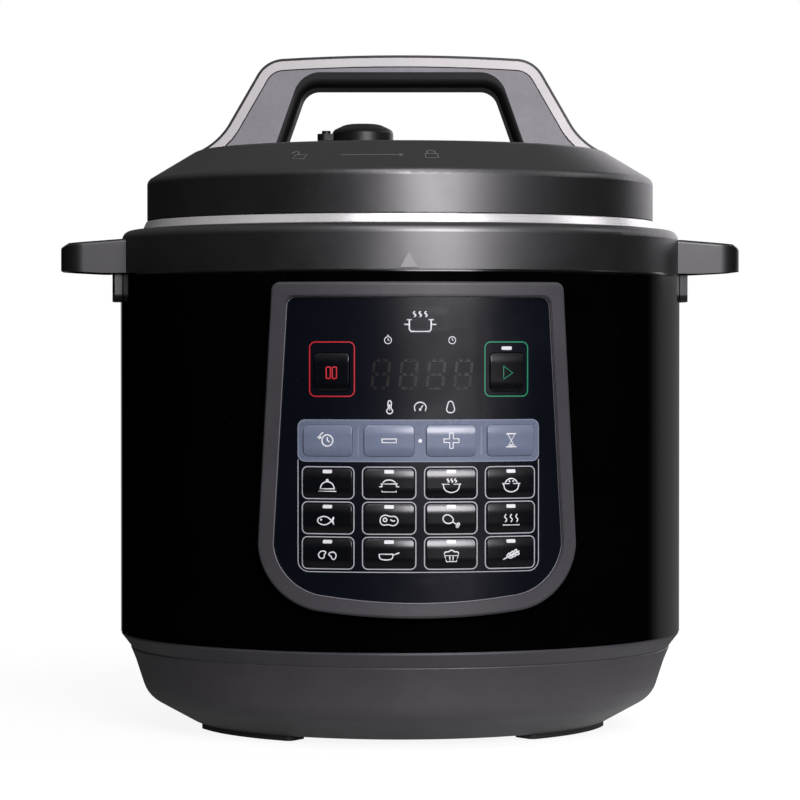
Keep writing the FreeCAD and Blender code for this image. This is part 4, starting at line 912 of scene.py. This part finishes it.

# Pale line laid on the overlay along the panel frame's inner lip, a painted highlight where the lip catches
# the light; in millimetres from the middle of the frame's top
lip_top = (60.4, -6.9)
lip_corner = 4.0
lip_splay = 0.2
lip_wide = (66.8, -121.0)
lip_low = (60.95, -134.8)
lip_foot = (42.55, -144.1)
lip_bottom = (0.0, -147.1)
slack = lip_corner * (1 - math.sqrt(0.5))
lip_right = arc_through((lip_top[0] - lip_corner, lip_top[1]), (lip_top[0] - slack, lip_top[1] - slack),
                        (lip_top[0] + lip_splay, lip_top[1] - lip_corner), steps=6)
lip_right += arc_through(lip_wide, lip_low, lip_foot, steps=14)
lip_base = arc_through(lip_foot, lip_bottom, (-lip_foot[0], lip_foot[1]), steps=12)[1:-1]
lip_line = lip_right + lip_base + [(-x, y) for x, y in reversed(lip_right)]
lip = laid_on(sliced(pen([shape(*lip_line)], width=0.55)), overlay_face(0.0, panel_top))
make_piece("frame_lip_painted_highlight", [(lip, lip_painted_highlight)], "base")

# Pale face of the raised triangle on the ring
mark_turn = -2.0
mark_corners = [(-3.9 * mm, 0.8 * mm, 0.0), (3.9 * mm, 0.8 * mm, 0.0), (0.0, 7.9 * mm, 0.0)]
triangle = bmesh.new()
triangle.faces.new([triangle.verts.new(corner) for corner in mark_corners])
make_piece("ring_mark_face", [inked(sliced(triangle), ring_face(mark_turn), mark_pale)],
           "base")

# Dark line painted inside the trim on both faces of the lid's handle, a painted shadow along the trim's inner
# edge; in millimetres across and up
trim_shadow_crown = (0.0, 41.05)
trim_shadow_shoulder = (57.45, 39.3)
trim_shadow_bend = (62.0, 37.9)
trim_shadow_leg = (65.3, 34.45)
trim_shadow_flare = [(79.9, 9.1), (82.6, 5.3), (86.4, 1.7)]
trim_shadow_top = arc_through((-trim_shadow_shoulder[0], trim_shadow_shoulder[1]), trim_shadow_crown, trim_shadow_shoulder, steps=16)
trim_shadow_side = arc_through(trim_shadow_shoulder, trim_shadow_bend, trim_shadow_leg, steps=6)[1:] + trim_shadow_flare
groove = [(-x, y) for x, y in reversed(trim_shadow_side)] + trim_shadow_top + trim_shadow_side
# A dark pen line on each face of the handle: painted shadow along the trim, not a cut groove
make_piece("trim_painted_shadow", [drawn([line(*groove)], handle_face(turn), cap_black, width=0.6)
                           for turn in (0.0, 180.0)], "lid")

# Rolled lip along the sleeve's top edge, between the side handles, in millimetres out and up from it
sleeve_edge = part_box("sleeve")[1]
roll_half_turn = math.radians(70.0)
roll_section = [(0.01, -1.6), (0.24, -1.45), (0.3, -1.1), (0.26, -0.75), (0.16, -0.4), (0.03, -0.02),
                (0.01, -0.02)]
axis_foot = (0.0, 0.0, 0.0)
axis_up = (0.0, 0.0, 1.0)
roll = bmesh.new()
for middle in (-math.pi / 2, math.pi / 2):
    ends = [roll.verts.new((sleeve_edge.x + out * mm, 0.0, sleeve_edge.z + rise * mm))
            for out, rise in roll_section]
    section = roll.faces.new(ends)
    swing = Matrix.Rotation(middle - roll_half_turn, 3, "Z")
    bmesh.ops.rotate(roll, cent=axis_foot, matrix=swing, verts=ends)
    bmesh.ops.spin(roll, geom=ends + section.edges[:] + [section], cent=axis_foot, axis=axis_up,
                   angle=2 * roll_half_turn, steps=140)
bmesh.ops.recalc_face_normals(roll, faces=roll.faces[:])
make_piece("sleeve_lip", [(roll, lip_gloss)], "base")

# Spring under the temperature sensor, which the sinking sensor presses together; drawn as a coil as tall as
# the part's spring, which it stands in for
spring_low, spring_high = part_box("sensor_spring")
wire = 0.7 * mm
coil_radius = 6.5 * mm
coil_turns = 5
steps_in_turn = 36
coil_steps = steps_in_turn * coil_turns
climb = (spring_high.z - spring_low.z - 2 * wire) / coil_steps
spring = bmesh.new()
start = Matrix.Translation((coil_radius, 0.0, spring_low.z + wire)) @ Matrix.Rotation(math.pi / 2, 4, "X")
bmesh.ops.create_circle(spring, cap_ends=False, segments=12, radius=wire, matrix=start)
bmesh.ops.spin(spring, geom=spring.verts[:] + spring.edges[:], cent=axis_foot, axis=axis_up,
               dvec=(0.0, 0.0, climb), angle=2 * math.pi * coil_turns, steps=coil_steps)
bmesh.ops.holes_fill(spring, edges=spring.edges[:], sides=0)
bmesh.ops.recalc_face_normals(spring, faces=spring.faces[:])
coil = make_piece("sensor_coil", [(spring, screw_steel)], "base")
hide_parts("sensor_spring")
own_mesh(coil)

# Marks of the lid's two positions on its cone, and an arrow between them
open_turn = -24.2
arrow_turn = -8.4
shut_turn = 7.4
lock_body = shape((-2.4, -2.6), (2.4, -2.6), (2.4, 0.8), (-2.4, 0.8))
lock_open = [lock_body, bow((-1.6, 0.8), (-1.9, 2.6), (-3.2, 3.4), (-4.5, 2.6), (-4.6, 1.4))]
lock_shut = [lock_body, bow((-1.6, 0.8), (-1.5, 2.6), (0.0, 3.5), (1.5, 2.6), (1.6, 0.8))]
arrow = [bow((-12.0, 0.0), (-6.0, 0.0), (3.0, 0.0), (11.0, 0.0), (18.0, 0.0)),
         line((16.0, 1.6), (18.2, 0.0), (16.0, -1.6))]
make_piece("lid_marks", [drawn(lock_open, cone_face(open_turn), mark_grey, width=0.6, size=1.2),
                         drawn(arrow, cone_face(arrow_turn), mark_grey, width=0.5),
                         drawn(lock_shut, cone_face(shut_turn), mark_grey, width=0.6, size=1.2)],
           "lid")


# Studio

def make_world():
    """White where the camera looks, and a dim sky, a pale side and part of the backdrop round the cooker."""
    side_right = 0.45
    side_back = 0.89
    backdrop_share = 0.35
    world = bpy.data.worlds.new("studio")
    scene.world = world
    world.use_nodes = True
    tree = world.node_tree
    tree.nodes.clear()
    ray = node(tree, "LightPath").outputs
    right, back, up = node(tree, "SeparateXYZ", {0: node(tree, "TexCoord").outputs["Generated"]}).outputs
    sky = spread(tree, up, high=0.24, start=0.05, end=0.95)
    around = math_of(tree, "MULTIPLY_ADD", right, side_right, product(tree, back, side_back))
    pale_side = spread(tree, around, high=0.11, start=0.8, end=0.95, ease="SMOOTHSTEP")
    backdrop = spread(tree, back, start=0.975, end=0.995, ease="SMOOTHSTEP")
    mirrored = product(tree, ray["Is Glossy Ray"], product(tree, backdrop, backdrop_share))
    clear = larger(tree, ray["Is Camera Ray"], ray["Is Transmission Ray"])
    white_share = larger(tree, clear, mirrored)
    dim = larger(tree, sky, pale_side)
    strength = node(tree, "Mix", {0: white_share, 2: dim, 3: 1.0}, data_type="FLOAT").outputs[0]
    light = node(tree, "Background", {"Color": (1.0, 1.0, 1.0, 1.0), "Strength": strength})
    node(tree, "OutputWorld", {"Surface": light.outputs[0]})


def softbox(name, turn, rise, width, height, power, distance=1.9, aim=(0.0, 0.0, 0.16)):
    """Area light at a turn from the front and a rise above the floor, facing the place it is aimed at."""
    lamp = bpy.data.lights.new(name, "AREA")
    lamp.shape = "RECTANGLE"
    lamp.size = width
    lamp.size_y = height
    lamp.energy = power
    lamp.color = (1.0, 0.962, 1.02)
    holder = bpy.data.objects.new(name, lamp)
    level = math.cos(math.radians(rise))
    out = round_point(math.radians(turn), level, math.sin(math.radians(rise)))
    holder.location = Vector(aim) + out * distance
    holder.rotation_euler = out.to_track_quat("Z", "Y").to_euler()
    scene.collection.objects.link(holder)


def make_floor(radius=0.5, sunk=0.4 * mm):
    """White disc that takes a soft shadow near the cooker and glows a little under it."""
    bm = bmesh.new()
    bmesh.ops.create_circle(bm, cap_ends=True, radius=radius, segments=128)
    bmesh.ops.translate(bm, vec=(0.0, 0.0, -sunk), verts=bm.verts)
    mesh = bpy.data.meshes.new("floor")
    bm.to_mesh(mesh)
    bm.free()
    floor = bpy.data.objects.new("floor", mesh)
    scene.collection.objects.link(floor)
    finish, tree, shader, spot = start_finish("floor_white")
    away = node(tree, "VectorMath", {0: spot}, operation="LENGTH").outputs["Value"]
    sideways = node(tree, "SeparateXYZ", {0: spot}).outputs["X"]
    near = spread(tree, away, low=1.0, high=0.0, start=0.24, end=0.49, ease="SMOOTHSTEP")
    ray = node(tree, "LightPath").outputs
    clear = larger(tree, ray["Is Camera Ray"], ray["Is Transmission Ray"])
    white = product(tree, clear, spread(tree, near, low=1.0, high=0.9))
    under = spread(tree, away, low=1.0, high=0.1, start=0.14, end=0.19, ease="SMOOTHSTEP")
    glow = product(tree, under, spread(tree, sideways, low=0.06, high=0.4, start=-0.14, end=0.14))
    bounced = larger(tree, ray["Is Glossy Ray"], ray["Is Diffuse Ray"])
    mirrored = product(tree, bounced, product(tree, near, glow))
    feed(tree, shader, {"Base Color": blend_tones(tree, near, (0.0, 0.0, 0.0), (0.13, 0.13, 0.13)),
                        "Roughness": 0.9, "Specular IOR Level": 0.0,
                        "Emission Color": (1.0, 1.0, 1.0, 1.0),
                        "Emission Strength": larger(tree, white, mirrored)})
    mesh.materials.append(finish)


make_world()
make_floor()
softbox("front_box", turn=12.0, rise=20.0, width=0.88, height=0.85, power=35.0)
softbox("high_box", turn=6.0, rise=50.0, width=1.3, height=0.65, power=11.0)
softbox("left_box", turn=-70.0, rise=40.0, width=0.6, height=0.6, power=0.2)
softbox("right_box", turn=95.0, rise=35.0, width=0.6, height=0.6, power=2.0)
softbox("back_box", turn=147.0, rise=16.0, width=1.5, height=0.9, power=7.0, distance=2.0)
softbox("floor_box", turn=0.0, rise=90.0, width=0.3, height=0.3, power=0.9, distance=0.16,
        aim=(0.27, 0.2, 0.0))

# Camera, a little left of the middle and turned to the axis
camera_turn = math.radians(-3.7)
camera_dip = math.radians(0.88)
camera_distance = 1.683
camera_z = panel_top - 30.4 * mm
picture_pixels = 800.0
focal_pixels = 3376.0
lens = bpy.data.cameras.new("camera")
lens.sensor_width = 36.0
lens.lens = focal_pixels / picture_pixels * lens.sensor_width
lens.clip_end = 20.0
camera = bpy.data.objects.new("camera", lens)
camera.location = round_point(camera_turn, camera_distance, camera_z)
camera.rotation_euler = (math.pi / 2 - camera_dip, 0.0, camera_turn)
scene.collection.objects.link(camera)
scene.camera = camera
scene.view_settings.view_transform = "Standard"
